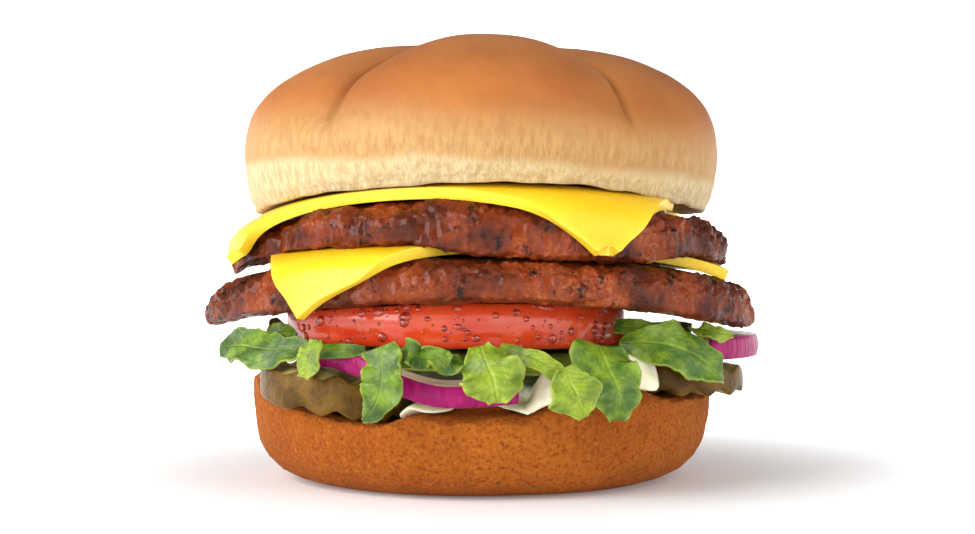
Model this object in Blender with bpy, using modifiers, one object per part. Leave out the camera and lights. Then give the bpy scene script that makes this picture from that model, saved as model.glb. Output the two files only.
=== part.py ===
"""Double cheeseburger with a lobed crown bun, built up from the heel in layers.

Metres, +Z up. The origin is the middle of the heel's flat base and the front faces -Y.
"""
import math

import bmesh
import bpy
from mathutils import Vector, noise

MM = 0.001
GAP = 0.3 * MM
FRONT = -math.pi / 2

# Bread
HEEL_RADIUS = 52.5 * MM
HEEL_TOP = 22.0 * MM
HEEL_STRAIGHT_HEIGHT = 10.0 * MM
HEEL_SIDE_HEIGHT = 18.3 * MM
CROWN_WIDTH_SHARE = 0.988
CROWN_RIM_RADIUS = 51.0 * MM
CROWN_RIM_HEIGHT = 61.5 * MM
CROWN_FREE_HEIGHT = 80.0 * MM
PETALS = 5

# Meat
LOWER_PATTY_WIDTH = 125.0 * MM
LOWER_PATTY_DEPTH = 113.0 * MM
LOWER_PATTY_TOP = 50.6 * MM
LOWER_PATTY_UNDERSIDE = 41.2 * MM
UPPER_PATTY_WIDTH = 113.0 * MM
UPPER_PATTY_DEPTH = 107.0 * MM
UPPER_PATTY_TOP = 62.9 * MM
PATTY_TOP_POWER = 4.6
PATTY_UNDERSIDE_POWER = 7.0

# Cheese
SLICE_THICKNESS = 2.4 * MM

# Tomato
TOMATO_RADIUS = 38.2 * MM
TOMATO_THICKNESS = 9.8 * MM
TOMATO_UNDERSIDE = 31.0 * MM

# Pickles
PICKLE_RADIUS = 16.0 * MM
PICKLE_RIDGE = 0.7 * MM
PICKLE_RIDGE_PITCH = 6.4 * MM

# Onion
ONION_RADIUS = 34.5 * MM
ONION_WALL = 5.0 * MM
ONION_HEIGHT = 4.6 * MM

# Lettuce
LEAF_THICKNESS = 0.6 * MM


def smoothstep(low, high, value):
    """Ease from 0 at low to 1 at high."""
    share = min(1.0, max(0.0, (value - low) / (high - low)))
    return share * share * (3.0 - 2.0 * share)


def hump(distance, width):
    """A bell curve of height 1 at no distance."""
    return math.exp(-((distance / width) ** 2))


def angle_between(first, second):
    """Smallest turn from one heading to another, without sign."""
    return abs((first - second + math.pi) % (2.0 * math.pi) - math.pi)


def heading(degrees):
    """Heading measured from the front, positive to the right."""
    return FRONT + math.radians(degrees)


def clear_scene():
    for old in list(bpy.data.objects):
        bpy.data.objects.remove(old, do_unlink=True)


def new_collection(name):
    collection = bpy.data.collections.new(name)
    bpy.context.scene.collection.children.link(collection)
    return collection


def plain_material(name, color, roughness, metallic=0.0):
    material = bpy.data.materials.new(name)
    material.use_nodes = True
    shader = material.node_tree.nodes["Principled BSDF"]
    shader.inputs["Base Color"].default_value = (*color, 1.0)
    shader.inputs["Roughness"].default_value = roughness
    shader.inputs["Metallic"].default_value = metallic
    material.diffuse_color = (*color, 1.0)
    return material


def turned(profile, steps):
    """Sweep a (radius, height) profile once round Z with a Screw modifier."""
    mesh = bpy.data.meshes.new("profile")
    edges = [(i, i + 1) for i in range(len(profile) - 1)]
    mesh.from_pydata([(radius, 0.0, height) for radius, height in profile], edges, [])
    holder = bpy.data.objects.new("profile", mesh)
    bpy.context.scene.collection.objects.link(holder)
    screw = holder.modifiers.new("Turn", "SCREW")
    screw.steps = steps
    screw.render_steps = steps
    screw.use_merge_vertices = True
    screw.merge_threshold = 1e-6
    graph = bpy.context.evaluated_depsgraph_get()
    body = bpy.data.meshes.new_from_object(holder.evaluated_get(graph))
    shape = bmesh.new()
    shape.from_mesh(body)
    bmesh.ops.remove_doubles(shape, verts=shape.verts, dist=1e-7)
    bmesh.ops.recalc_face_normals(shape, faces=shape.faces)
    bpy.data.objects.remove(holder, do_unlink=True)
    return shape


def add_piece(name, shape, material, collection):
    """Turn a finished bmesh into a smooth shaded object."""
    bmesh.ops.recalc_face_normals(shape, faces=shape.faces)
    mesh = bpy.data.meshes.new(name)
    shape.to_mesh(mesh)
    shape.free()
    mesh.shade_smooth()
    mesh.set_sharp_from_angle(angle=math.radians(50.0))
    mesh.materials.append(material)
    piece = bpy.data.objects.new(name, mesh)
    collection.objects.link(piece)
    return piece


def thicken(piece, thickness, even):
    """Give an open sheet its thickness on the side its faces point to."""
    solid = piece.modifiers.new("Thickness", "SOLIDIFY")
    solid.thickness = thickness
    solid.offset = 1.0
    solid.use_even_offset = even


# The layers arch: they are highest in the middle and sag to the left and right

def sag(x, y, left, right, power):
    """How far a layer has sunk at a point, given its sag 55 mm out on each side."""
    side = left if x < 0.0 else right
    return side * (abs(x) / (55.0 * MM)) ** power + 0.5 * MM * (y / (55.0 * MM)) ** 2


def lower_patty_underside(x, y):
    return LOWER_PATTY_UNDERSIDE - sag(x, y, 5.2 * MM, 6.6 * MM, 2.2)


def lower_patty_top(x, y):
    return LOWER_PATTY_TOP - sag(x, y, 2.6 * MM, 4.0 * MM, 2.3)


def upper_patty_top(x, y):
    return UPPER_PATTY_TOP - sag(x, y, 6.2 * MM, 4.4 * MM, 2.2)


class Slice:
    """Where a slice of cheese lies: its middle, its side, and how its front and its sides are turned."""

    def __init__(self, x, y, side, front_turn, side_turn):
        self.x = x
        self.y = y
        self.side = side
        self.across = (math.cos(front_turn), math.sin(front_turn))
        self.back = (-math.sin(side_turn), math.cos(side_turn))

    def place(self, u, v):
        return (self.x + u * self.across[0] + v * self.back[0],
                self.y + u * self.across[1] + v * self.back[1])

    def outside(self, x, y):
        """How far a point lies outside the slice, negative on it."""
        x -= self.x
        y -= self.y
        size = self.across[0] * self.back[1] - self.across[1] * self.back[0]
        u = (x * self.back[1] - y * self.back[0]) / size
        v = (y * self.across[0] - x * self.across[1]) / size
        return max(abs(u), abs(v)) - self.side / 2

    def cover(self, x, y):
        """1 on the slice, easing to 0 outside it."""
        return 1.0 - smoothstep(4.5 * MM, 11.0 * MM, self.outside(x, y))


LOWER_SLICE = Slice(-0.6 * MM, 9.4 * MM, 99.0 * MM, math.radians(17.0), math.radians(8.0))
UPPER_SLICE = Slice(1.5 * MM, 1.8 * MM, 94.5 * MM, math.radians(-20.0), math.radians(-20.0))


def crown_underside(x, y):
    """The upper slice carries the whole crown."""
    bent_slice = 0.9 * MM * smoothstep(28.0 * MM, 46.0 * MM, math.hypot(x, y))
    room = (SLICE_THICKNESS + 3.0 * GAP + bent_slice) * UPPER_SLICE.cover(x, y)
    hanging_rim = (0.8 + 1.0 * smoothstep(20.0 * MM, 45.0 * MM, x)) * MM
    hanging_rim *= smoothstep(43.0 * MM, 51.0 * MM, math.hypot(x, y))
    return upper_patty_top(x, y) + GAP + room - hanging_rim


def bare_meat_swell(x, y):
    """Where no cheese lies on it, the right end of the upper patty stands up to the crown."""
    bare = smoothstep(1.0 * MM, 5.0 * MM, UPPER_SLICE.outside(x, y))
    right_end = smoothstep(15.0 * MM, 30.0 * MM, x) * smoothstep(55.0 * MM, 45.0 * MM, x)
    right_end *= smoothstep(5.0 * MM, -5.0 * MM, y)
    return 0.8 * (SLICE_THICKNESS + 2.0 * GAP) * UPPER_SLICE.cover(x, y) * bare * right_end


# The pickles, the onion and the mayonnaise press into the heel's soft top

class Pickle:
    """A round chip lying at a slight tilt: middle, underside height there, thickness and slopes."""

    def __init__(self, x, y, height, thickness, slope_x, slope_y):
        self.x = x
        self.y = y
        self.height = height
        self.thickness = thickness
        self.slope_x = slope_x
        self.slope_y = slope_y

    def underside(self, x, y):
        return self.height + self.slope_x * (x - self.x) + self.slope_y * (y - self.y)

    def outside(self, x, y):
        return math.hypot(x - self.x, y - self.y) - PICKLE_RADIUS

    def rim_along(self, angle):
        """Distance from the middle of the bun to the chip's near rim, None if missed."""
        forward = self.x * math.cos(angle) + self.y * math.sin(angle)
        aside = abs(self.y * math.cos(angle) - self.x * math.sin(angle))
        clearance = PICKLE_RADIUS + 2.8 * MM
        if forward <= 0.0 or aside >= clearance:
            return None
        return forward - math.sqrt(clearance ** 2 - aside ** 2)


PICKLE_LEFT = Pickle(-30.5 * MM, -30.5 * MM, 18.4 * MM, 7.3 * MM, -0.13, 0.03)
PICKLE_RIGHT = Pickle(42.0 * MM, -14.0 * MM, 21.4 * MM, 5.0 * MM, -0.03, 0.03)

FRONT_ONION_X = -6.0 * MM
FRONT_ONION_Y = -19.0 * MM
FRONT_ONION_END = 8.7 * MM
RIGHT_ONION_X = 29.6 * MM
RIGHT_ONION_Y = 2.0 * MM
RIGHT_ONION_UNDERSIDE = 27.6 * MM


def front_onion_underside(x, y):
    """The ring climbs over the left pickle and hangs over the heel's front edge."""
    climb = 5.4 * MM * smoothstep(-6.0 * MM, -31.0 * MM, x)
    past = max(0.0, -y - 42.0 * MM)
    return 21.6 * MM + climb - 0.1 * past - 8.0 * past * past


def pressed_height(x, y, height, pickle_gap, onion_gap, slope):
    """Lower a height so that it passes beneath the pickles and the onion.

    Away from them it recovers at the given slope.
    """
    for pickle in (PICKLE_LEFT, PICKLE_RIGHT):
        free = max(0.0, pickle.outside(x, y) - 3.0 * MM)
        below = pickle.underside(x, y) - PICKLE_RIDGE - pickle_gap
        height = min(height, below + free * slope)
    if y < FRONT_ONION_Y:
        ring = math.hypot(x - FRONT_ONION_X, y - FRONT_ONION_Y)
        beyond = abs(ring - (ONION_RADIUS - ONION_WALL / 2)) - ONION_WALL / 2
        free = max(0.0, beyond - 1.5 * MM, x - FRONT_ONION_END - 3.6 * MM)
        height = min(height, front_onion_underside(x, y) - onion_gap + free * slope)
    return height


def heel_top(x, y):
    """Flat but for its rounded rim, and higher at the left where the bread is thicker."""
    rim_width = 9.0 * MM
    edge = max(0.0, math.hypot(x, y) - (HEEL_RADIUS - rim_width)) / rim_width
    height = HEEL_TOP - 1.5 * MM * edge ** 3 + 2.4 * MM * smoothstep(-34.0 * MM, -50.0 * MM, x)
    return pressed_height(x, y, height, GAP, 2.9 * MM, 0.55)


def build_heel(material, collection):
    steps = 44
    profile = [(0.0, 0.0)]
    for radius, height in ((37.0, 0.0), (43.4, 1.3), (49.0, 5.3), (51.3, 10.0), (52.5, 18.3)):
        profile.append((radius * MM, height * MM))
    for radius in (51.4, 49.0, 46.0, 42.5, 38.5, 33.5, 28.0, 22.0, 14.0):
        profile.append((radius * MM, HEEL_TOP))
    profile.append((0.0, HEEL_TOP))
    shape = turned(profile, steps)
    for vert in shape.verts:
        x, y, z = vert.co
        if z > HEEL_TOP - 1e-6:
            vert.co.z = heel_top(x, y)
            if math.hypot(x, y) > 51.0 * MM:
                vert.co.z -= 0.4 * MM
        elif z > 1.0 * MM:
            swell = 0.5 * MM * noise.noise(Vector((x, y, z)) * 45.0)
            vert.co.x += swell * x / HEEL_RADIUS
            vert.co.y += swell * y / HEEL_RADIUS
            rim = heel_top(x * 0.99, y * 0.99) - 1.1 * MM
            share = max(0.0, z - HEEL_STRAIGHT_HEIGHT) / (HEEL_SIDE_HEIGHT - HEEL_STRAIGHT_HEIGHT)
            vert.co.z = min(z, HEEL_STRAIGHT_HEIGHT) + (rim - HEEL_STRAIGHT_HEIGHT) * share
    return add_piece("heel", shape, material, collection)


SPREAD_THICKNESS = 2.2 * MM
SPREAD_MOUND = 2.6 * MM
SPREAD_LIFT = 2.1 * MM


def mayonnaise_reach(angle):
    """Outline of the spread: it squeezes out in three places and stops at the pickles."""
    reach = 43.5 * MM + 1.5 * MM * math.sin(5.0 * angle + 1.0)
    for degrees, extra, width in ((-14.0, 10.5, 9.0), (17.0, 12.0, 9.0), (43.0, 10.5, 8.0)):
        reach += extra * MM * hump(angle_between(angle, heading(degrees)), math.radians(width))
    for pickle in (PICKLE_LEFT, PICKLE_RIGHT):
        rim = pickle.rim_along(angle)
        if rim is not None:
            reach = min(reach, rim)
    return reach


def mayonnaise_top(x, y):
    height = heel_top(x, y) + SPREAD_THICKNESS
    height += SPREAD_MOUND * smoothstep(32.0 * MM, 22.0 * MM, math.hypot(x, y))
    for degrees, distance, rise in ((17.0, 51.0, 6.5), (43.0, 50.0, 8.0), (-14.0, 51.0, 1.0)):
        middle_x = distance * MM * math.cos(heading(degrees))
        middle_y = distance * MM * math.sin(heading(degrees))
        height += rise * MM * hump(math.hypot(x - middle_x, y - middle_y), 6.5 * MM)
    return pressed_height(x, y, height, -PICKLE_LEFT.thickness, 0.8 * MM, 2.5)


def build_mayonnaise(material, collection):
    steps = 44
    shares = (0.35, 0.6, 0.78, 0.9, 0.97)
    profile = [(0.0, 0.0)]
    profile += [(share, 0.0) for share in shares]
    profile.append((1.0, 0.5))
    profile += [(share, 1.0) for share in reversed(shares)]
    profile.append((0.0, 1.0))
    shape = turned(profile, steps)
    for vert in shape.verts:
        share = math.hypot(vert.co.x, vert.co.y)
        angle = math.atan2(vert.co.y, vert.co.x)
        reach = mayonnaise_reach(angle) * share
        x = reach * math.cos(angle)
        y = reach * math.sin(angle)
        bottom = heel_top(x, y) + SPREAD_LIFT
        top = max(bottom + 0.5 * MM, mayonnaise_top(x, y))
        thin = 1.0 - 0.25 * smoothstep(0.9, 1.0, share)
        vert.co = (x, y, bottom + (top - bottom) * vert.co.z * thin)
    return add_piece("mayonnaise", shape, material, collection)


def build_pickle(name, pickle, material, collection):
    steps = 30
    radius = PICKLE_RADIUS
    rings = [radius * share for share in (0.3, 0.55, 0.78, 0.97)]
    profile = [(0.0, 0.0)]
    profile += [(ring, 0.0) for ring in rings]
    profile += [(radius, 0.14), (radius, 0.86)]
    profile += [(ring, 1.0) for ring in reversed(rings)]
    profile.append((0.0, 1.0))
    shape = turned(profile, steps)
    for vert in shape.verts:
        level = vert.co.z
        x = pickle.x + vert.co.x
        y = pickle.y + vert.co.y
        wave = math.sin(2.0 * math.pi * (x * 0.94 + y * 0.34) / PICKLE_RIDGE_PITCH)
        ridge = PICKLE_RIDGE * wave
        vert.co = (x, y, pickle.underside(x, y) + level * pickle.thickness + ridge)
    return add_piece(name, shape, material, collection)


def build_onion(name, middle_x, middle_y, start, end, height, underside, material, collection):
    """Part of a ring slice: a square section swept along an arc and capped at both ends."""
    columns = 16
    section = [(0.0, 0.0), (0.88, 0.0), (1.0, 0.1), (1.04, 0.5), (1.0, 0.92), (0.88, 1.0)]
    section += [(0.45, 0.96), (0.0, 1.0)]
    shape = bmesh.new()
    loops = []
    for column in range(columns + 1):
        angle = heading(start + (end - start) * column / columns)
        loop = []
        for across, level in section:
            radius = ONION_RADIUS - ONION_WALL * (1.0 - across)
            x = middle_x + radius * math.cos(angle)
            y = middle_y + radius * math.sin(angle)
            loop.append(shape.verts.new((x, y, underside(x, y) + height * level)))
        loops.append(loop)
    count = len(section)
    for first, second in zip(loops, loops[1:]):
        for index in range(count):
            after = (index + 1) % count
            shape.faces.new((first[index], first[after], second[after], second[index]))
    shape.faces.new(loops[0])
    shape.faces.new(loops[-1])
    return add_piece(name, shape, material, collection)


def build_tomato(material, collection):
    steps = 36
    radius = TOMATO_RADIUS
    profile = [(0.0, 0.0), (radius * 0.5, 0.0), (radius - 2.0 * MM, 0.0)]
    for index in range(1, 4):
        turn = index / 4 * math.pi
        bulge = radius - 2.0 * MM + 2.0 * MM * math.sin(turn) ** 0.7
        profile.append((bulge, TOMATO_THICKNESS * (1.0 - math.cos(turn)) / 2))
    profile += [(radius - 2.0 * MM, TOMATO_THICKNESS), (radius * 0.5, TOMATO_THICKNESS)]
    profile.append((0.0, TOMATO_THICKNESS))
    shape = turned(profile, steps)
    for vert in shape.verts:
        angle = math.atan2(vert.co.y, vert.co.x)
        wobble = 1.0 + 0.010 * math.cos(3.0 * angle + 0.6) + 0.006 * math.cos(7.0 * angle)
        x = vert.co.x * wobble - 6.0 * MM
        y = vert.co.y * wobble - 7.0 * MM
        z = TOMATO_UNDERSIDE + vert.co.z - 0.018 * x
        vert.co = (x, y, min(z, lower_patty_underside(x, y) - GAP - 0.15 * MM))
    return add_piece("tomato", shape, material, collection)


def patty_power(angle, level):
    """How square the rim is in section: it tapers at the left and right ends."""
    aside = math.cos(angle) ** 4
    if level > 0.5:
        return PATTY_TOP_POWER - (1.4 if math.cos(angle) > 0.0 else 2.0) * aside
    return PATTY_UNDERSIDE_POWER - 2.0 * aside


def patty_point(angle, share, level, width, depth, underside, top):
    """Point on a patty: share of the way out, level 0 for its underside and 1 for its top."""
    power = patty_power(angle, level)
    reach = 1.0 / math.hypot(math.cos(angle) / (width / 2), math.sin(angle) / (depth / 2))
    x = reach * share * math.cos(angle)
    y = reach * share * math.sin(angle)
    low = underside(x, y)
    high = top(x, y)
    half = (1.0 - share ** power) ** (1.0 / power) if share < 1.0 else 0.0
    droop = 0.1 + 0.2 * max(0.0, -math.cos(angle)) ** 4
    middle = low + (high - low) * (0.5 - droop * smoothstep(0.7, 1.0, share))
    if level > 0.5:
        return x, y, middle + (high - middle) * half
    return x, y, middle - (middle - low) * half


def lower_patty_surface(x, y):
    """Height of the lower patty's top, with the start of its rounded rim."""
    angle = math.atan2(y, x)
    rim = patty_point(angle, 1.0, 1.0, LOWER_PATTY_WIDTH, LOWER_PATTY_DEPTH,
                      lower_patty_underside, lower_patty_top)
    share = min(0.92, math.hypot(x, y) / math.hypot(rim[0], rim[1]))
    return patty_point(angle, share, 1.0, LOWER_PATTY_WIDTH, LOWER_PATTY_DEPTH,
                       lower_patty_underside, lower_patty_top)[2]


def upper_patty_underside(x, y):
    """It rests on the lower slice, and beyond it on the meat."""
    room = (SLICE_THICKNESS + 2.0 * GAP) * LOWER_SLICE.cover(x, y)
    room += 0.8 * MM * smoothstep(34.0 * MM, 48.0 * MM, math.hypot(x, y))
    return lower_patty_surface(x, y) + GAP + room


def build_patty(name, width, depth, underside, top, swell_at, seed, material, collection):
    """A hand formed patty: flat faces, rough lumpy rim."""
    steps = 48
    shares = (0.0, 0.3, 0.55, 0.74, 0.87, 0.94, 0.98)
    profile = [(share, 0.0) for share in shares]
    profile.append((1.0, 0.5))
    profile += [(share, 1.0) for share in reversed(shares)]
    shape = turned(profile, steps)
    offset = Vector((seed, seed * 0.7, 0.0))
    for vert in shape.verts:
        share = math.hypot(vert.co.x, vert.co.y)
        angle = math.atan2(vert.co.y, vert.co.x)
        point = Vector(patty_point(angle, share, vert.co.z, width, depth, underside, top))
        rough = 0.5 + 0.5 * noise.noise(point * 95.0 + offset)
        rough += 0.35 * noise.noise(point * 230.0 + offset)
        inward = 2.4 * MM * max(0.0, rough) * smoothstep(0.80, 0.97, share)
        if vert.co.z > 0.5 and share < 1.0:
            power = patty_power(angle, 1.0)
            point.z += swell_at(point.x, point.y) * (1.0 - share ** power) ** (1.0 / power)
        flat = Vector((point.x, point.y, 0.0))
        if flat.length > 0.0:
            point -= flat.normalized() * inward
        vert.co = point
    return add_piece(name, shape, material, collection)


def nothing(x, y):
    return 0.0


def floor_below_upper_slice(x, y):
    """Height of the lower patty's rounded top with its cheese, on which the upper slice rests."""
    angle = math.atan2(y, x)
    rim = patty_point(angle, 1.0, 1.0, LOWER_PATTY_WIDTH, LOWER_PATTY_DEPTH,
                      lower_patty_underside, lower_patty_top)
    share = min(0.9, math.hypot(x, y) / math.hypot(rim[0], rim[1]))
    surface = patty_point(angle, share, 1.0, LOWER_PATTY_WIDTH, LOWER_PATTY_DEPTH,
                          lower_patty_underside, lower_patty_top)
    room = (SLICE_THICKNESS + 2.0 * GAP) * LOWER_SLICE.cover(x, y)
    return surface[2] + room + 0.8 * MM


def draped_sheet(slice_at, width, depth, underside, top, floor, bulge, bulge_at, bulge_width, drawn_in):
    """A square grid laid over a patty: flat on its top, bent down past its rim.

    The softened front edge bulges out. drawn_in is 1 where the right end lies gathered under the bread.
    """
    divisions = 14
    shape = bmesh.new()
    bmesh.ops.create_grid(shape, x_segments=divisions, y_segments=divisions, size=slice_at.side / 2)
    samples = [index / 40 for index in range(37)] + [0.92, 0.94, 0.96, 0.98, 0.99, 0.996, 1.0]
    for vert in shape.verts:
        half = slice_at.side / 2
        forward = max(0.0, -vert.co.y / half)
        push = bulge * forward ** 3 * hump(vert.co.x / half - bulge_at, bulge_width)
        x, y = slice_at.place(vert.co.x, vert.co.y - push)
        flat = math.hypot(x, y)
        angle = math.atan2(y, x)
        line = []
        for share in samples:
            px, py, pz = patty_point(angle, share, 1.0, width, depth, underside, top)
            line.append((math.hypot(px, py), pz))
        rim_radius = line[-1][0]
        rim_height = line[-1][1]
        for beyond, fall in ((0.6, 3.0), (1.0, 6.0), (1.8, 9.0), (3.5, 13.0), (6.0, 18.0), (14.0, 32.0)):
            radius = rim_radius + beyond * MM
            ground = floor(radius * math.cos(angle), radius * math.sin(angle))
            line.append((radius, max(ground, rim_height - fall * MM)))
        raised = []
        for index, (radius, height) in enumerate(line):
            before = line[max(0, index - 1)]
            after = line[min(len(line) - 1, index + 1)]
            run = after[0] - before[0]
            rise = after[1] - before[1]
            length = math.hypot(run, rise)
            bend = smoothstep(0.7, 0.92, radius / rim_radius)
            clearance = 0.4 * MM + 1.15 * MM * bend
            raised.append((radius - rise / length * clearance, height + run / length * clearance))
        aside = math.degrees((angle - FRONT + math.pi) % (2.0 * math.pi) - math.pi)
        slack = rim_radius + 3.0 * MM + 30.0 * MM * smoothstep(10.0 * MM, -10.0 * MM, y)
        window = smoothstep(50.0, 62.0, aside) * smoothstep(125.0, 105.0, aside)
        slack += (41.0 * MM - slack) * window * drawn_in
        flat = min(flat, slack + 0.2 * max(0.0, flat - slack))
        walked = 0.0
        place = raised[0]
        for first, second in zip(raised, raised[1:]):
            step = math.hypot(second[0] - first[0], second[1] - first[1])
            if walked + step >= flat:
                share = (flat - walked) / step
                radius = first[0] + (second[0] - first[0]) * share
                place = (radius, first[1] + (second[1] - first[1]) * share)
                break
            walked += step
            place = second
        vert.co = (place[0] * math.cos(angle), place[0] * math.sin(angle), place[1])
    return shape


def build_cheese(name, slice_at, width, depth, underside, top, floor, bulge, bulge_at, bulge_width, drawn_in,
                 material, collection):
    shape = draped_sheet(slice_at, width, depth, underside, top, floor,
                         bulge, bulge_at, bulge_width, drawn_in)
    bmesh.ops.triangulate(shape, faces=shape.faces)
    piece = add_piece(name, shape, material, collection)
    thicken(piece, SLICE_THICKNESS, True)
    return piece


def crown_ridge():
    """Outline of a petal along its middle, from the top of the crown down to the rim."""
    outer = [(0.0, 97.4), (8.0, 98.2), (16.0, 99.2), (23.0, 99.0), (30.0, 97.8), (36.5, 96.0)]
    outer += [(42.5, 93.4), (47.5, 90.2), (51.5, 86.0), (54.0, 81.0), (55.0, 75.5), (54.6, 69.5)]
    outer += [(53.6, 65.2), (52.2, 62.6)]
    return [(radius * CROWN_WIDTH_SHARE * MM, height * MM) for radius, height in outer]


def build_crown(material, collection):
    steps = 55
    outer = crown_ridge()
    inner = [(49.5, 61.5), (44.0, 61.5), (36.0, 61.5), (24.0, 61.5), (0.0, 61.5)]
    profile = outer + [(radius * MM, height * MM) for radius, height in inner]
    shape = turned(profile, steps)
    spread = 2.0 * math.pi / PETALS
    for vert in shape.verts:
        x, y, z = vert.co
        reach = math.hypot(x, y)
        angle = math.atan2(y, x)
        twist = math.radians(4.0) * (1.0 - smoothstep(26.0 * MM, 54.0 * MM, reach))
        turn = ((angle - FRONT - twist + spread / 2) % spread - spread / 2) / (spread / 2)
        if z < 61.6 * MM and reach < 50.0 * MM:
            vert.co.z = crown_underside(x, y) + 0.1 * MM
            continue
        if reach > 1e-6:
            depth = 4.2 * MM * smoothstep(0.0, 26.0 * MM, reach)
            depth *= smoothstep(73.0 * MM, 86.0 * MM, z)
            if angle_between(angle, FRONT + twist) < spread / 2:
                crease = turn ** 4
            else:
                crease = 0.8 * turn * turn + 0.2 * turn ** 8
            steep = smoothstep(40.0 * MM, 56.0 * MM, reach)
            vert.co.z -= depth * crease * (1.0 - 0.6 * steep)
            inward = depth * crease * steep * 0.55
            vert.co.x -= inward * x / reach
            vert.co.y -= inward * y / reach
            forward = max(0.0, -math.sin(angle))
            vert.co.z -= 1.4 * MM * smoothstep(8.0 * MM, 22.0 * MM, reach) * (1.0 - forward ** 2) \
                * smoothstep(80.0 * MM, 95.0 * MM, z)
        rim_x = CROWN_RIM_RADIUS * math.cos(angle)
        rim_y = CROWN_RIM_RADIUS * math.sin(angle)
        lift = crown_underside(rim_x, rim_y) - CROWN_RIM_HEIGHT
        if z < CROWN_FREE_HEIGHT:
            weight = (CROWN_FREE_HEIGHT - z) / (CROWN_FREE_HEIGHT - CROWN_RIM_HEIGHT)
            vert.co.z += lift * weight + 0.1 * MM
    return add_piece("crown", shape, material, collection)


def leaf_sheet(spine, widths, facing_degrees, lean_degrees, ruffle, waves, phase, columns=10, rows=4):
    """A strip of leaf along a smooth path, ruffled towards its edges.

    spine holds points in millimetres; widths are the half widths along it. The leaf faces the
    given heading and leans back by the given angle.
    """
    level = math.cos(math.radians(lean_degrees))
    facing = Vector((level * math.cos(heading(facing_degrees)), level * math.sin(heading(facing_degrees)),
                     math.sin(math.radians(lean_degrees))))
    points = [Vector(point) * MM for point in spine]
    shape = bmesh.new()
    bmesh.ops.create_grid(shape, x_segments=columns, y_segments=rows, size=1.0)
    last = len(points) - 1

    def path(share):
        place = min(last - 1e-6, max(0.0, share * last))
        index = int(place)
        part = place - index
        before = points[max(0, index - 1)]
        here = points[index]
        after = points[index + 1]
        beyond = points[min(last, index + 2)]
        b = after - before
        c = 2.0 * before - 5.0 * here + 4.0 * after - beyond
        d = 3.0 * here - before - 3.0 * after + beyond
        return (2.0 * here + b * part + c * part ** 2 + d * part ** 3) * 0.5

    for vert in shape.verts:
        share = vert.co.x * 0.5 + 0.5
        across = vert.co.y
        place = path(share)
        along = (path(min(1.0, share + 0.04)) - path(max(0.0, share - 0.04))).normalized()
        side = along.cross(facing).normalized()
        normal = side.cross(along)
        spot = share * (len(widths) - 1)
        index = min(len(widths) - 2, int(spot))
        passed = smoothstep(0.0, 1.0, spot - index)
        half = (widths[index] + (widths[index + 1] - widths[index]) * passed) * MM
        turn = waves * share * math.pi + phase + (0.9 if across > 0.0 else 2.1)
        bend = ruffle * MM * across ** 2 * (math.sin(turn) + 0.4 * math.sin(2.7 * turn + 1.0))
        bend += 0.3 * ruffle * MM * math.sin(0.8 * waves * share * math.pi + 2.0 * across + phase)
        vert.co = place + side * half * across + normal * bend
    bmesh.ops.triangulate(shape, faces=shape.faces)
    return shape


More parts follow.
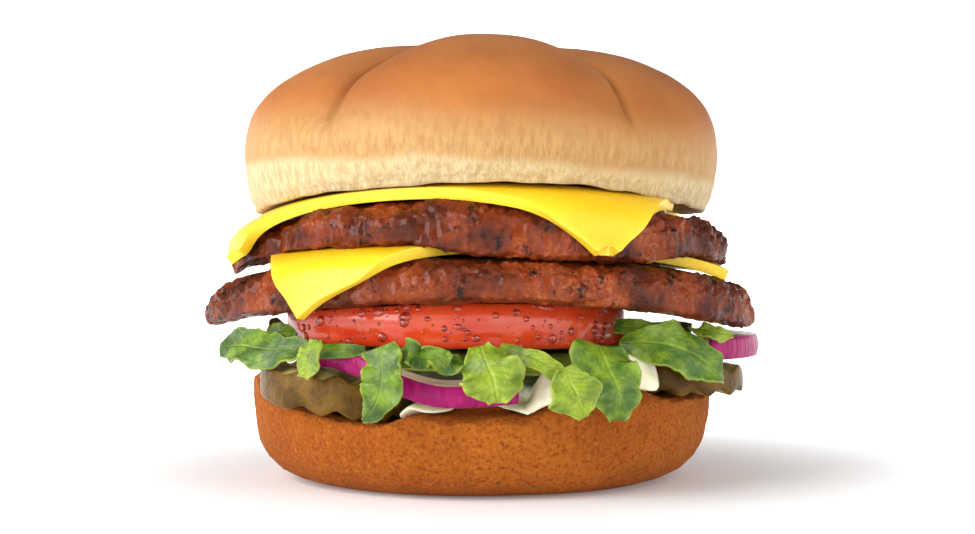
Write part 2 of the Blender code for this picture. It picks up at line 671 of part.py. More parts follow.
# Each leaf: path from its root outwards, half widths, heading it faces, lean, ruffle, waves and phase
LEAVES = {
    "lettuce_left": (
        ((-23.4, -47.5, 30.9), (-32.5, -46.5, 31.1), (-39.0, -42.5, 30.9), (-45.6, -38.0, 30.8),
         (-51.5, -32.0, 31.2), (-56.2, -27.0, 30.7)),
        (0.8, 1.4, 2.3, 3.6, 3.6, 1.5), -35, 25, 0.7, 5.0, 0.4),
    "lettuce_left_back": (
        ((-40.0, -27.0, 32.2), (-43.6, -24.0, 33.6), (-46.7, -22.0, 34.4)),
        (1.3, 2.0, 1.4), -50, 20, 0.4, 3.0, 1.0),
    "lettuce_left_shred": (
        ((-33.3, -49.6, 33.2), (-33.9, -50.6, 31.3), (-34.9, -50.2, 28.4), (-35.6, -49.6, 25.6)),
        (1.2, 2.2, 2.4, 1.2), -30, 5, 0.35, 4.0, 1.0),
    "lettuce_hanging_strip": (
        ((-19.8, -56.0, 32.1), (-19.3, -57.5, 29.2), (-19.3, -58.0, 26.1), (-19.7, -57.5, 22.9),
         (-21.4, -56.0, 19.6), (-23.3, -54.5, 17.3)),
        (3.4, 3.6, 3.7, 3.9, 2.2, 0.4), -18, 0, 0.5, 6.0, 0.5),
    "lettuce_curl": (
        ((-15.5, -54.5, 31.1), (-13.8, -57.5, 31.2), (-11.9, -56.0, 30.0), (-9.2, -58.5, 30.7),
         (-6.5, -57.5, 28.7), (-5.4, -56.6, 28.9), (-4.8, -54.0, 30.2)),
        (1.0, 2.2, 1.8, 1.4, 1.8, 2.0, 1.2), -8, 10, 0.9, 7.0, 2.2),
    "lettuce_middle": (
        ((0.0, -54.5, 32.1), (1.2, -57.5, 29.4), (2.4, -59.0, 26.8), (3.1, -59.5, 24.1), (3.5, -59.0, 21.3)),
        (2.0, 4.1, 5.3, 4.7, 1.6), 4, 0, 0.8, 4.0, 0.0),
    "lettuce_thin_shred": (
        ((4.0, -52.0, 31.7), (7.8, -54.5, 30.7), (11.9, -56.2, 29.2), (14.9, -56.2, 27.3),
         (16.5, -55.8, 25.5)),
        (0.8, 1.4, 1.8, 1.8, 0.8), 12, 10, 0.3, 4.0, 0.8),
    "lettuce_right_lower": (
        ((16.8, -58.3, 28.3), (17.9, -58.1, 25.2), (19.3, -58.6, 22.3), (20.5, -57.6, 18.3)),
        (1.6, 3.4, 4.7, 1.0), 8, 0, 0.5, 4.0, 1.4),
    "lettuce_right_upper": (
        ((23.8, -47.0, 32.1), (25.1, -51.5, 28.9), (26.7, -54.0, 25.5), (27.7, -54.5, 21.7),
         (27.4, -53.0, 17.4)),
        (4.9, 6.0, 5.0, 4.4, 1.4), 22, 5, 0.8, 4.0, 0.2),
    "lettuce_right": (
        ((29.3, -36.0, 31.8), (34.3, -38.5, 32.3), (39.3, -38.5, 31.7), (44.6, -36.5, 29.5),
         (48.8, -35.2, 26.8), (51.6, -33.4, 23.9)),
        (1.1, 3.3, 5.0, 4.6, 3.0, 0.9), 40, 15, 0.7, 4.0, 2.0),
    "lettuce_tucked": (
        ((28.8, -31.0, 35.4), (33.4, -32.5, 35.0), (38.1, -32.0, 35.2)),
        (1.4, 1.7, 0.6), 35, 15, 0.2, 3.0, 0.6),
    "lettuce_far_right": (
        ((45.2, -27.0, 34.4), (47.7, -29.0, 34.6), (51.0, -28.5, 33.6), (54.4, -27.0, 33.2)),
        (0.9, 1.6, 1.5, 0.4), 50, 15, 0.3, 4.0, 0.6),
}


def build_lettuce(material, collection):
    for name, (spine, widths, facing, lean, ruffle, waves, phase) in LEAVES.items():
        shape = leaf_sheet(spine, widths, facing, lean, ruffle, waves, phase)
        piece = add_piece(name, shape, material, collection)
        thicken(piece, LEAF_THICKNESS, False)


def build_lettuce_bed(material, collection):
    """The leaf beneath the tomato: flat there, turned up where it stands out at the sides."""
    steps = 32
    shape = turned([(share, 0.0) for share in (0.0, 0.4, 0.66, 0.75, 0.84, 0.92, 1.0)], steps)
    for vert in shape.verts:
        angle = math.atan2(vert.co.y, vert.co.x)
        share = math.hypot(vert.co.x, vert.co.y)
        aside = math.degrees(angle_between(angle, FRONT))
        reach = 36.0 * MM + 13.0 * MM * smoothstep(58.0, 84.0, aside) * smoothstep(125.0, 95.0, aside)
        front = smoothstep(41.0, 30.0, aside)
        reach += 8.5 * MM * front + 1.0 * MM * math.sin(9.0 * angle)
        x = reach * share * math.cos(angle)
        y = reach * share * math.sin(angle)
        beyond = math.hypot(x + 6.0 * MM, y + 7.0 * MM) - TOMATO_RADIUS
        rise = (5.0 + 1.3 * math.sin(13.0 * angle)) * MM * smoothstep(3.0 * MM, 8.0 * MM, beyond)
        wave = 0.2 * MM * math.sin(x * 420.0) * math.sin(y * 380.0)
        wave -= 3.0 * MM * front * smoothstep(36.0 * MM, 44.0 * MM, math.hypot(x, y))
        height = 29.7 * MM + wave - 0.018 * x + rise
        vert.co = (x, y, min(height, lower_patty_underside(x, y) - 1.2 * MM))
    bmesh.ops.triangulate(shape, faces=shape.faces)
    piece = add_piece("lettuce_bed", shape, material, collection)
    thicken(piece, LEAF_THICKNESS, False)


def main():
    clear_scene()
    burger = new_collection("butter burger")
    crust = plain_material("toasted crust", (0.62, 0.36, 0.15), 0.6)
    crumb = plain_material("golden heel", (0.66, 0.33, 0.08), 0.75)
    meat = plain_material("seared beef", (0.13, 0.045, 0.025), 0.4)
    cheese = plain_material("cheese", (0.95, 0.62, 0.03), 0.35)
    red = plain_material("tomato", (0.62, 0.06, 0.025), 0.2)
    green = plain_material("lettuce", (0.25, 0.48, 0.05), 0.4)
    purple = plain_material("red onion", (0.36, 0.03, 0.15), 0.3)
    olive = plain_material("pickle", (0.25, 0.22, 0.05), 0.35)
    white = plain_material("mayonnaise", (0.88, 0.86, 0.74), 0.3)
    build_heel(crumb, burger)
    build_mayonnaise(white, burger)
    build_pickle("pickle_left", PICKLE_LEFT, olive, burger)
    build_pickle("pickle_right", PICKLE_RIGHT, olive, burger)
    build_onion("onion_front", FRONT_ONION_X, FRONT_ONION_Y, -62.0, 23.5, ONION_HEIGHT,
                front_onion_underside, purple, burger)
    build_onion("onion_right", RIGHT_ONION_X, RIGHT_ONION_Y, 36.0, 128.0, ONION_HEIGHT + 0.6 * MM,
                lambda x, y: RIGHT_ONION_UNDERSIDE, purple, burger)
    build_lettuce_bed(green, burger)
    build_lettuce(green, burger)
    build_tomato(red, burger)
    build_patty("patty_lower", LOWER_PATTY_WIDTH, LOWER_PATTY_DEPTH,
                lower_patty_underside, lower_patty_top, nothing, 3.0, meat, burger)
    build_cheese("cheese_lower", LOWER_SLICE, LOWER_PATTY_WIDTH, LOWER_PATTY_DEPTH,
                 lower_patty_underside, lower_patty_top, nothing, 7.0 * MM, -0.55, 0.36, 0.0,
                 cheese, burger)
    build_patty("patty_upper", UPPER_PATTY_WIDTH, UPPER_PATTY_DEPTH,
                upper_patty_underside, upper_patty_top, bare_meat_swell, 8.0, meat, burger)
    build_cheese("cheese_upper", UPPER_SLICE, UPPER_PATTY_WIDTH, UPPER_PATTY_DEPTH,
                 upper_patty_underside, upper_patty_top, floor_below_upper_slice, 5.0 * MM,
                 0.0, 0.6, 1.0, cheese, burger)
    build_crown(crust, burger)


main()
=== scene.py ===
"""A double cheeseburger with a lobed crown bun, put together from the heel up."""
import math

import bmesh
import bpy
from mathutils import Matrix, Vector, noise


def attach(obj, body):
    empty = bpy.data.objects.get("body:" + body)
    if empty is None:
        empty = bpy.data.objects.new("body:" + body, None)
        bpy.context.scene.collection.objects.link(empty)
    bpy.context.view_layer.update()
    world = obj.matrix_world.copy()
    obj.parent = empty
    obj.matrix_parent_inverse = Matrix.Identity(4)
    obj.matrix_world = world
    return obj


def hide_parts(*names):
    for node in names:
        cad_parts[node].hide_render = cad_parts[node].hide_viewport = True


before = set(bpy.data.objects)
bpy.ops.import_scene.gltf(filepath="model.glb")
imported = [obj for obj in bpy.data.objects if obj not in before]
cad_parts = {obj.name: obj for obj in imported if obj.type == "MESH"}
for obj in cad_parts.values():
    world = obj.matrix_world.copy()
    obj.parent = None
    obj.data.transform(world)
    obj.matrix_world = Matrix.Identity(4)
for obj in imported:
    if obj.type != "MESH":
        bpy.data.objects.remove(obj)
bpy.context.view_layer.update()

# Heel
# The lower half of the bun: soft wheat bread baked in a shallow round tin, toasted golden all over.
# Its side is an open sponge with darker baked specks, and its top is pressed down by what lies on it.

MM = 0.001
GAP = 0.3 * MM
FRONT = -math.pi / 2
HEEL_RADIUS = 52.5 * MM
HEEL_TOP = 22.0 * MM
HEEL_STRAIGHT_HEIGHT = 10.0 * MM
HEEL_SIDE_HEIGHT = 18.3 * MM
HEEL_RIM_WIDTH = 9.0 * MM
HEEL_RIM_DROP = 1.5 * MM
HEEL_LEFT_RISE = 2.4 * MM
HEEL_ONION_GAP = 2.9 * MM
HEEL_SLOPE = 0.55
CHIP_PRESS_RIM = 3.0 * MM
CHIP_SPREAD_CLEARANCE = 2.2 * MM
PICKLE_RADIUS = 16.0 * MM
PICKLE_RIDGE = 0.7 * MM
ONION_RADIUS = 34.5 * MM
ONION_WALL = 5.0 * MM
FRONT_ONION_X = -6.0 * MM
FRONT_ONION_Y = -19.0 * MM
FRONT_ONION_END = 8.7 * MM
FRONT_ONION_UNDERSIDE = 21.6 * MM
FRONT_ONION_CLIMB = 5.4 * MM


def smoothstep(low, high, value):
    """Ease from 0 at low to 1 at high."""
    share = min(1.0, max(0.0, (value - low) / (high - low)))
    return share * share * (3.0 - 2.0 * share)


def hump(distance, width):
    """A bell curve of height 1 at no distance."""
    return math.exp(-((distance / width) ** 2))


def angle_between(first, second):
    """Smallest turn from one heading to another, without sign."""
    return abs((first - second + math.pi) % (2.0 * math.pi) - math.pi)


def heading(degrees):
    """Heading measured from the front, positive to the right."""
    return FRONT + math.radians(degrees)


class Chip:
    """A round pickle chip at a slight tilt: middle, underside height there, thickness and slopes."""

    def __init__(self, x, y, height, thickness, slope_x, slope_y):
        self.x = x
        self.y = y
        self.height = height
        self.thickness = thickness
        self.slope_x = slope_x
        self.slope_y = slope_y

    def underside(self, x, y):
        return self.height + self.slope_x * (x - self.x) + self.slope_y * (y - self.y)

    def outside(self, x, y):
        return math.hypot(x - self.x, y - self.y) - PICKLE_RADIUS

    def rim_along(self, angle):
        """Distance from the middle of the bun to the chip's near rim, None if missed."""
        forward = self.x * math.cos(angle) + self.y * math.sin(angle)
        aside = abs(self.y * math.cos(angle) - self.x * math.sin(angle))
        clearance = PICKLE_RADIUS + CHIP_SPREAD_CLEARANCE
        if forward <= 0.0 or aside >= clearance:
            return None
        return forward - math.sqrt(clearance ** 2 - aside ** 2)


LEFT_CHIP = Chip(-30.5 * MM, -30.5 * MM, 18.4 * MM, 7.3 * MM, -0.13, 0.03)
RIGHT_CHIP = Chip(42.0 * MM, -14.0 * MM, 21.4 * MM, 5.0 * MM, -0.03, 0.03)


def front_onion_underside(x, y):
    """The ring climbs over the left pickle and hangs over the heel's front edge."""
    climb = FRONT_ONION_CLIMB * smoothstep(-6.0 * MM, -31.0 * MM, x)
    past = max(0.0, -y - 42.0 * MM)
    return FRONT_ONION_UNDERSIDE + climb - 0.1 * past - 8.0 * past * past


def pressed_height(x, y, height, chip_gap, onion_gap, slope):
    """Lower a height so that it passes beneath the pickles and the onion.

    Away from them it recovers at the given slope.
    """
    for chip in (LEFT_CHIP, RIGHT_CHIP):
        free = max(0.0, chip.outside(x, y) - CHIP_PRESS_RIM)
        below = chip.underside(x, y) - PICKLE_RIDGE - chip_gap
        height = min(height, below + free * slope)
    if y < FRONT_ONION_Y:
        ring = math.hypot(x - FRONT_ONION_X, y - FRONT_ONION_Y)
        beyond = abs(ring - (ONION_RADIUS - ONION_WALL / 2)) - ONION_WALL / 2
        free = max(0.0, beyond - 1.5 * MM, x - FRONT_ONION_END - 1.2 * MM)
        height = min(height, front_onion_underside(x, y) - onion_gap + free * slope)
    return height


def heel_top(x, y):
    """Flat but for its rounded rim, and higher at the left where the bread is thicker."""
    edge = max(0.0, math.hypot(x, y) - (HEEL_RADIUS - HEEL_RIM_WIDTH)) / HEEL_RIM_WIDTH
    height = HEEL_TOP - HEEL_RIM_DROP * edge ** 3
    height += HEEL_LEFT_RISE * smoothstep(-34.0 * MM, -50.0 * MM, x)
    return pressed_height(x, y, height, GAP, HEEL_ONION_GAP, HEEL_SLOPE)


def turned(name, rows, steps, place):
    """A mesh object of rows run once round Z; a row of no radius closes to a point.

    place turns a row's radius, its level and an angle into a point.
    """
    points = []
    faces = []
    starts = []
    for radius, level in rows:
        starts.append(len(points))
        for step in range(steps if radius > 0.0 else 1):
            points.append(place(radius, level, 2.0 * math.pi * step / steps))
    for index in range(len(rows) - 1):
        low, high = starts[index], starts[index + 1]
        for step in range(steps):
            after = (step + 1) % steps
            if rows[index][0] == 0.0:
                faces.append((low, high + after, high + step))
            elif rows[index + 1][0] == 0.0:
                faces.append((low + step, low + after, high))
            else:
                faces.append((low + step, low + after, high + after, high + step))
    return solid(name, points, faces)


def solid(name, points, faces):
    """A smooth shaded object with its faces turned outwards."""
    mesh = bpy.data.meshes.new(name)
    mesh.from_pydata(points, [], faces)
    shape = bmesh.new()
    shape.from_mesh(mesh)
    bmesh.ops.recalc_face_normals(shape, faces=shape.faces)
    shape.to_mesh(mesh)
    shape.free()
    mesh.shade_smooth()
    piece = bpy.data.objects.new(name, mesh)
    bpy.context.scene.collection.objects.link(piece)
    return piece


class Strand:
    """One thread of a finish: a node socket, on which arithmetic adds Math nodes."""

    def __init__(self, tree, socket):
        self.tree = tree
        self.socket = socket

    def node(self, kind, settings, values, output=0):
        """Add a node: its settings first, then its sockets by name or number."""
        made = self.tree.nodes.new(kind)
        for key, value in settings.items():
            setattr(made, key, value)
        for key, value in values.items():
            if isinstance(value, Strand):
                self.tree.links.new(value.socket, made.inputs[key])
            else:
                made.inputs[key].default_value = value
        return Strand(self.tree, made.outputs[output])

    def maths(self, operation, *values):
        return self.node("ShaderNodeMath", {"operation": operation}, dict(enumerate(values)))

    def __add__(self, other):
        return self.maths("ADD", self, other)

    def __sub__(self, other):
        return self.maths("SUBTRACT", self, other)

    def __rsub__(self, other):
        return self.maths("SUBTRACT", other, self)

    def __mul__(self, other):
        return self.maths("MULTIPLY", self, other)

    def __pow__(self, other):
        return self.maths("POWER", self, other)

    __radd__ = __add__
    __rmul__ = __mul__

    def most(self, other):
        return self.maths("MAXIMUM", self, other)

    def sine(self):
        return self.maths("SINE", self)

    def size(self):
        return self.maths("ABSOLUTE", self)

    def away_from(self, x, y):
        """Level distance of a place from the upright line at x and y."""
        away_x = self.axis(0) - x
        away_y = self.axis(1) - y
        return (away_x * away_x + away_y * away_y) ** 0.5

    def ease(self, low, high):
        """0 at low, 1 at high and smooth between them."""
        values = {"Value": self, "From Min": low, "From Max": high}
        return self.node("ShaderNodeMapRange", {"interpolation_type": "SMOOTHSTEP"}, values)

    def tint(self, first, second):
        """A colour mixed from two, each a colour or a Strand."""
        sides = [(*side, 1.0) if isinstance(side, tuple) else side for side in (first, second)]
        return self.node("ShaderNodeMix", {"data_type": "RGBA"}, {0: self, 6: sides[0], 7: sides[1]}, 2)

    def stored(self, label):
        """A value that the mesh keeps at its points."""
        return self.node("ShaderNodeAttribute", {"attribute_name": label}, {}, 2)

    def axis(self, number):
        return self.node("ShaderNodeSeparateXYZ", {}, {0: self}, number)

    def scaled(self, x, y, z):
        return self.node("ShaderNodeMapping", {}, {"Vector": self, "Scale": (x, y, z)})

    def grain(self, scale, detail=3.0, roughness=0.5):
        values = {"Vector": self, "Scale": scale, "Detail": detail, "Roughness": roughness}
        return self.node("ShaderNodeTexNoise", {}, values)

    def cells(self, scale):
        return self.node("ShaderNodeTexVoronoi", {"feature": "F1"}, {"Vector": self, "Scale": scale})


def finish(name, fixed):
    """A new material with its fixed shader values, and a Strand of its Object coordinates."""
    material = bpy.data.materials.new(name)
    material.use_nodes = True
    shader = material.node_tree.nodes["Principled BSDF"]
    for socket, value in fixed.items():
        shader.inputs[socket].default_value = value
    spot = material.node_tree.nodes.new("ShaderNodeTexCoord")
    return material, Strand(material.node_tree, spot.outputs["Object"])


def wire(material, color, roughness, height, distance):
    """Link a material's varying colour, roughness and relief to its shader."""
    tree = material.node_tree
    shader = tree.nodes["Principled BSDF"]
    tree.links.new(color.socket, shader.inputs["Base Color"])
    tree.links.new(roughness.socket, shader.inputs["Roughness"])
    relief = height.node("ShaderNodeBump", {}, {"Height": height, "Distance": distance})
    tree.links.new(relief.socket, shader.inputs["Normal"])


def seat(piece, material, node):
    """Dress a finished piece and let it stand for the node of the frame that it follows."""
    if material is not None:
        piece.data.materials.append(material)
    if node is not None:
        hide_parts(node)
    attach(piece, "root")


def heel_point(radius, level, angle):
    """The side is a little uneven, and the top follows what lies on it."""
    x = radius * math.cos(angle)
    y = radius * math.sin(angle)
    if level >= HEEL_TOP:
        z = heel_top(x, y) - 0.5 * MM * smoothstep(50.4 * MM, 52.0 * MM, radius)
        dent = 0.5 * MM * noise.noise(Vector((x, y, z)) * 320.0)
        return x, y, z + dent * smoothstep(30.0 * MM, 46.0 * MM, radius)
    spot = Vector((x, y, level))
    swell = 0.6 * MM * noise.noise(spot * 45.0)
    swell += 0.25 * MM * noise.noise(spot * 200.0) * smoothstep(0.0, 3.0 * MM, level)
    swell += 0.22 * MM * noise.noise(spot * 620.0) * smoothstep(1.0 * MM, 4.0 * MM, level)
    grown = 1.0 + swell / HEEL_RADIUS
    rim = heel_top(x * 0.99, y * 0.99) - 1.1 * MM
    share = max(0.0, level - HEEL_STRAIGHT_HEIGHT) / (HEEL_SIDE_HEIGHT - HEEL_STRAIGHT_HEIGHT)
    return x * grown, y * grown, min(level, HEEL_STRAIGHT_HEIGHT) + (rim - HEEL_STRAIGHT_HEIGHT) * share


HEEL_OUTLINE = [(37.0, 0.0), (40.4, 0.4), (43.4, 1.3), (46.5, 2.9), (49.0, 5.3), (50.4, 7.6), (51.3, 10.0),
                (52.0, 13.0), (52.4, 16.0), (52.5, 18.3)]
heel_rows = [(radius * MM, 0.0) for radius in (0.0, 14.0, 26.0, 34.0)]
for (radius, level), (next_radius, next_level) in zip(HEEL_OUTLINE, HEEL_OUTLINE[1:]):
    for part in (0.0, 0.25, 0.5, 0.75):
        out = radius + (next_radius - radius) * part
        up = level + (next_level - level) * part
        heel_rows.append((out * MM, up * MM))
heel_rows.append((HEEL_RADIUS, HEEL_SIDE_HEIGHT))
for out in (52.2, 51.7, 51.0, 50.2, 49.3, 48.3, 47.2, 46.0, 44.6, 43.0, 41.0, 38.0, 34.0, 28.0, 18.0, 0.0):
    heel_rows.append((out * MM, HEEL_TOP))
heel = turned("heel_bread", heel_rows, 480, heel_point)

toast, spot = finish("toasted_heel", {"IOR": 1.35, "Specular IOR Level": 0.25,
                                      "Subsurface Weight": 0.05, "Subsurface Scale": 0.002})
mottle = spot.grain(60.0, 4.0, 0.6)
crumb = spot.grain(1150.0, 4.0, 0.7)
pores = spot.cells(900.0)
base_color = mottle.ease(0.32, 0.68).tint((0.30, 0.073, 0.006), (0.40, 0.110, 0.011))
toasted = crumb.ease(0.46, 0.70).tint(base_color, (0.20, 0.040, 0.004))
lit_crumb = crumb.ease(0.44, 0.28).tint(toasted, (0.46, 0.155, 0.028))
wire(toast, lit_crumb, 0.75 + 0.2 * crumb, crumb * 0.8 + pores * 0.3, 0.0006)
seat(heel, toast, "heel")


# Mayonnaise
# A white egg and oil sauce spread on the heel and squeezed out by the layers above.
# It is smooth and glossy, and stands proud in blobs at the front and the right.

SPREAD_REACH = 43.5 * MM
SPREAD_THICKNESS = 2.2 * MM
SPREAD_LEAST = 0.8 * MM
SPREAD_LIFT = 0.4 * MM
SPREAD_MOUND = 2.6 * MM
SPREAD_ONION_GAP = 0.8 * MM
SPREAD_SLOPE = 2.5
BLOB_WIDTH = 6.5 * MM


def mayonnaise_reach(angle):
    """Outline of the spread: it squeezes out in three places and stops at the pickles."""
    reach = SPREAD_REACH + 1.5 * MM * math.sin(5.0 * angle + 1.0)
    for degrees, extra, width in ((-14.0, 10.5, 9.0), (17.0, 12.0, 9.0), (43.0, 10.5, 8.0)):
        reach += extra * MM * hump(angle_between(angle, heading(degrees)), math.radians(width))
    for chip in (LEFT_CHIP, RIGHT_CHIP):
        rim = chip.rim_along(angle)
        if rim is not None:
            reach = min(reach, rim)
    return reach


def mayonnaise_top(x, y):
    """An even layer, higher in the middle, with three blobs where it is squeezed out."""
    height = heel_top(x, y) + SPREAD_THICKNESS
    height += SPREAD_MOUND * smoothstep(32.0 * MM, 22.0 * MM, math.hypot(x, y))
    for degrees, distance, rise in ((15.0, 51.5, 6.5), (43.0, 50.0, 8.0), (-14.0, 51.0, 1.0)):
        middle_x = distance * MM * math.cos(heading(degrees))
        middle_y = distance * MM * math.sin(heading(degrees))
        height += rise * MM * hump(math.hypot(x - middle_x, y - middle_y), BLOB_WIDTH)
    return pressed_height(x, y, height, -LEFT_CHIP.thickness, SPREAD_ONION_GAP, SPREAD_SLOPE)


def mayonnaise_point(share, level, angle):
    reach = mayonnaise_reach(angle) * share
    x = reach * math.cos(angle)
    y = reach * math.sin(angle)
    bottom = heel_top(x, y) + SPREAD_LIFT
    top = max(bottom + SPREAD_LEAST, mayonnaise_top(x, y))
    round_edge = math.sqrt(max(0.0, 1.0 - max(0.0, (share - 0.86) / 0.14) ** 2))
    middle = bottom + (top - bottom) * 0.35
    if level > 0.5:
        wave = 0.35 * MM * noise.noise(Vector((x, y, 0.0)) * 190.0)
        return x, y, middle + (top - middle + wave) * round_edge
    return x, y, middle - (middle - bottom) * round_edge


mayo_shares = (0.0, 0.3, 0.5, 0.65, 0.75, 0.82, 0.87, 0.9, 0.925, 0.95, 0.97, 0.985, 0.995)
mayo_rows = [(share, 0.0) for share in mayo_shares] + [(1.0, 1.0)]
mayo_rows += [(share, 1.0) for share in reversed(mayo_shares)]
mayonnaise = turned("mayonnaise_spread", mayo_rows, 300, mayonnaise_point)
cream, spot = finish("mayonnaise_cream", {"IOR": 1.45, "Subsurface Weight": 0.25, "Subsurface Scale": 0.003,
                                          "Coat Weight": 0.3, "Coat Roughness": 0.12})
swirl = spot.grain(160.0, 3.0, 0.5)
wire(cream, swirl.ease(0.35, 0.7).tint((0.86, 0.82, 0.56), (0.94, 0.91, 0.70)),
     0.22 + 0.16 * swirl, spot.grain(260.0, 3.0, 0.5), 0.0008)
seat(mayonnaise, cream, "mayonnaise")


# Pickles
# Two thick chips cut across a pickled cucumber with a crinkle blade, so both faces are ridged.
# The rim is olive brown skin, the faces are pale wet flesh, and both lie pressed into the heel.

PICKLE_RIDGE_PITCH = 6.4 * MM


def chip_points(chip):
    """Both faces of a chip wave alike, and its outline is a little uneven."""
    def point(radius, level, angle):
        x = chip.x + radius * math.cos(angle)
        y = chip.y + radius * math.sin(angle)
        wave = math.sin(2.0 * math.pi * (x * 0.94 + y * 0.34) / PICKLE_RIDGE_PITCH)
        swell = 1.0 + 0.02 * math.sin(3.0 * angle + 40.0 * chip.x)
        x = chip.x + (x - chip.x) * swell
        y = chip.y + (y - chip.y) * swell
        return x, y, chip.underside(x, y) + level * chip.thickness + PICKLE_RIDGE * wave
    return point


chip_shares = (0.0, 0.1, 0.2, 0.3, 0.4, 0.5, 0.6, 0.7, 0.8, 0.88, 0.94, 0.98)
chip_rim = ((1.0, 0.05), (1.012, 0.2), (1.015, 0.4), (1.015, 0.6), (1.01, 0.8), (1.0, 0.95))
chip_rows = [(PICKLE_RADIUS * share, 0.0) for share in chip_shares]
chip_rows += [(PICKLE_RADIUS * share, level) for share, level in chip_rim]
chip_rows += [(PICKLE_RADIUS * share, 1.0) for share in reversed(chip_shares)]
for node, chip in (("pickle_left", LEFT_CHIP), ("pickle_right", RIGHT_CHIP)):
    piece = turned(node + "_chip", chip_rows, 180, chip_points(chip))
    brine, spot = finish(node + "_flesh", {"IOR": 1.38, "Coat Weight": 0.08, "Coat Roughness": 0.08,
                                           "Specular IOR Level": 0.15,
                                           "Subsurface Weight": 0.1, "Subsurface Scale": 0.003})
    away = spot.away_from(chip.x, chip.y)
    mottle = spot.grain(240.0, 4.0, 0.6)
    flesh = mottle.ease(0.3, 0.7).tint((0.26, 0.21, 0.050), (0.42, 0.37, 0.13))
    skin = mottle.ease(0.35, 0.68).tint((0.075, 0.036, 0.005), (0.165, 0.085, 0.013))
    rim = (away + 0.0006 * spot.grain(500.0)).ease(PICKLE_RADIUS * 0.955, PICKLE_RADIUS * 0.995)
    wire(brine, rim.tint(flesh, skin), 0.24 + 0.2 * mottle, spot.grain(700.0, 3.0, 0.6), 0.0004)
    seat(piece, brine, node)


# Red onion
# Parts of two thick rings sliced across a red onion, each a purple wall with fine upright ribs.
# The cut face on top is pale with purple lines where its layers meet.

RIGHT_ONION_X = 29.6 * MM
RIGHT_ONION_Y = 2.0 * MM
RIGHT_ONION_UNDERSIDE = 27.6 * MM
ONION_HEIGHT = 4.6 * MM
RIGHT_ONION_HEIGHT = ONION_HEIGHT + 0.6 * MM
# Radians per metre of the wave whose crests are the lines between the layers
ONION_LAYERS = 3600.0
ONION_SECTION = [(0.0, 0.05), (0.3, 0.0), (0.6, 0.0), (0.86, 0.02), (0.97, 0.07), (1.0, 0.2), (1.03, 0.35),
                 (1.04, 0.5), (1.03, 0.65), (1.0, 0.8), (0.96, 0.92), (0.88, 0.99), (0.8, 0.97), (0.72, 1.0),
                 (0.6, 0.97), (0.48, 1.0), (0.36, 0.96), (0.2, 1.0), (0.05, 0.97), (0.0, 0.9), (-0.02, 0.5)]


def onion_arc(name, middle_x, middle_y, start, end, height, underside):
    """Part of a ring slice: its section swept along an arc and capped at both ends."""
    columns = 120
    count = len(ONION_SECTION)
    points = []
    faces = []
    for column in range(columns + 1):
        angle = heading(start + (end - start) * column / columns)
        rib = 0.09 * MM * math.sin(column * 1.9) * math.sin(column * 0.37)
        for across, level in ONION_SECTION:
            outer = smoothstep(0.8, 1.0, across)
            radius = ONION_RADIUS - ONION_WALL * (1.0 - across) + rib * outer
            x = middle_x + radius * math.cos(angle)
            y = middle_y + radius * math.sin(angle)
            points.append((x, y, underside(x, y) + height * level))
    for column in range(columns):
        for index in range(count):
            after = (index + 1) % count
            low = column * count
            faces.append((low + index, low + after, low + count + after, low + count + index))
    faces.append(tuple(range(count)))
    faces.append(tuple(columns * count + index for index in range(count)))
    return solid(name, points, faces)


def onion_finish(name, middle_x, middle_y):
    """Purple skin outside, and thin purple lines between the pale layers of the cut face."""
    flesh, spot = finish(name, {"IOR": 1.4, "Coat Weight": 0.08, "Coat Roughness": 0.08,
                                "Specular IOR Level": 0.15,
                                "Subsurface Weight": 0.15, "Subsurface Scale": 0.002})
    away = spot.away_from(middle_x, middle_y)
    layer = (away * ONION_LAYERS).sine().ease(-0.2, 0.9)
    streak = spot.scaled(1.0, 1.0, 0.25).grain(420.0, 4.0, 0.6)
    pale = layer.tint((0.62, 0.54, 0.36), (0.82, 0.76, 0.56))
    purple = streak.ease(0.3, 0.7).tint((0.23, 0.004, 0.075), (0.41, 0.014, 0.150))
    skin = away.ease(ONION_RADIUS - 0.75 * MM, ONION_RADIUS - 0.35 * MM)
    wire(flesh, skin.tint(pale, purple), 0.24 + 0.15 * streak, streak, 0.0003)
    return flesh


onion_front = onion_arc("onion_front_ring", FRONT_ONION_X, FRONT_ONION_Y, -62.0, 23.5, ONION_HEIGHT,
                        front_onion_underside)
seat(onion_front, onion_finish("front_onion", FRONT_ONION_X, FRONT_ONION_Y), "onion_front")
onion_right = onion_arc("onion_right_ring", RIGHT_ONION_X, RIGHT_ONION_Y, 36.0, 128.0, RIGHT_ONION_HEIGHT,
                        lambda x, y: RIGHT_ONION_UNDERSIDE)
seat(onion_right, onion_finish("right_onion", RIGHT_ONION_X, RIGHT_ONION_Y), "onion_right")


# Lettuce
# Torn and shredded leaf lettuce: a bed under the tomato, with ruffled strips that hang out at the front.
# Each leaf is thin, bright green at its edge, paler along its veins and wet.

LEAF_THICKNESS = 0.45 * MM
BED_HEIGHT = 29.7 * MM
BED_REACH = 36.0 * MM
LAYER_TILT = 0.018
TOMATO_RADIUS = 38.2 * MM
TOMATO_X = -6.0 * MM
TOMATO_Y = -7.0 * MM
LOWER_PATTY_UNDERSIDE = 41.2 * MM


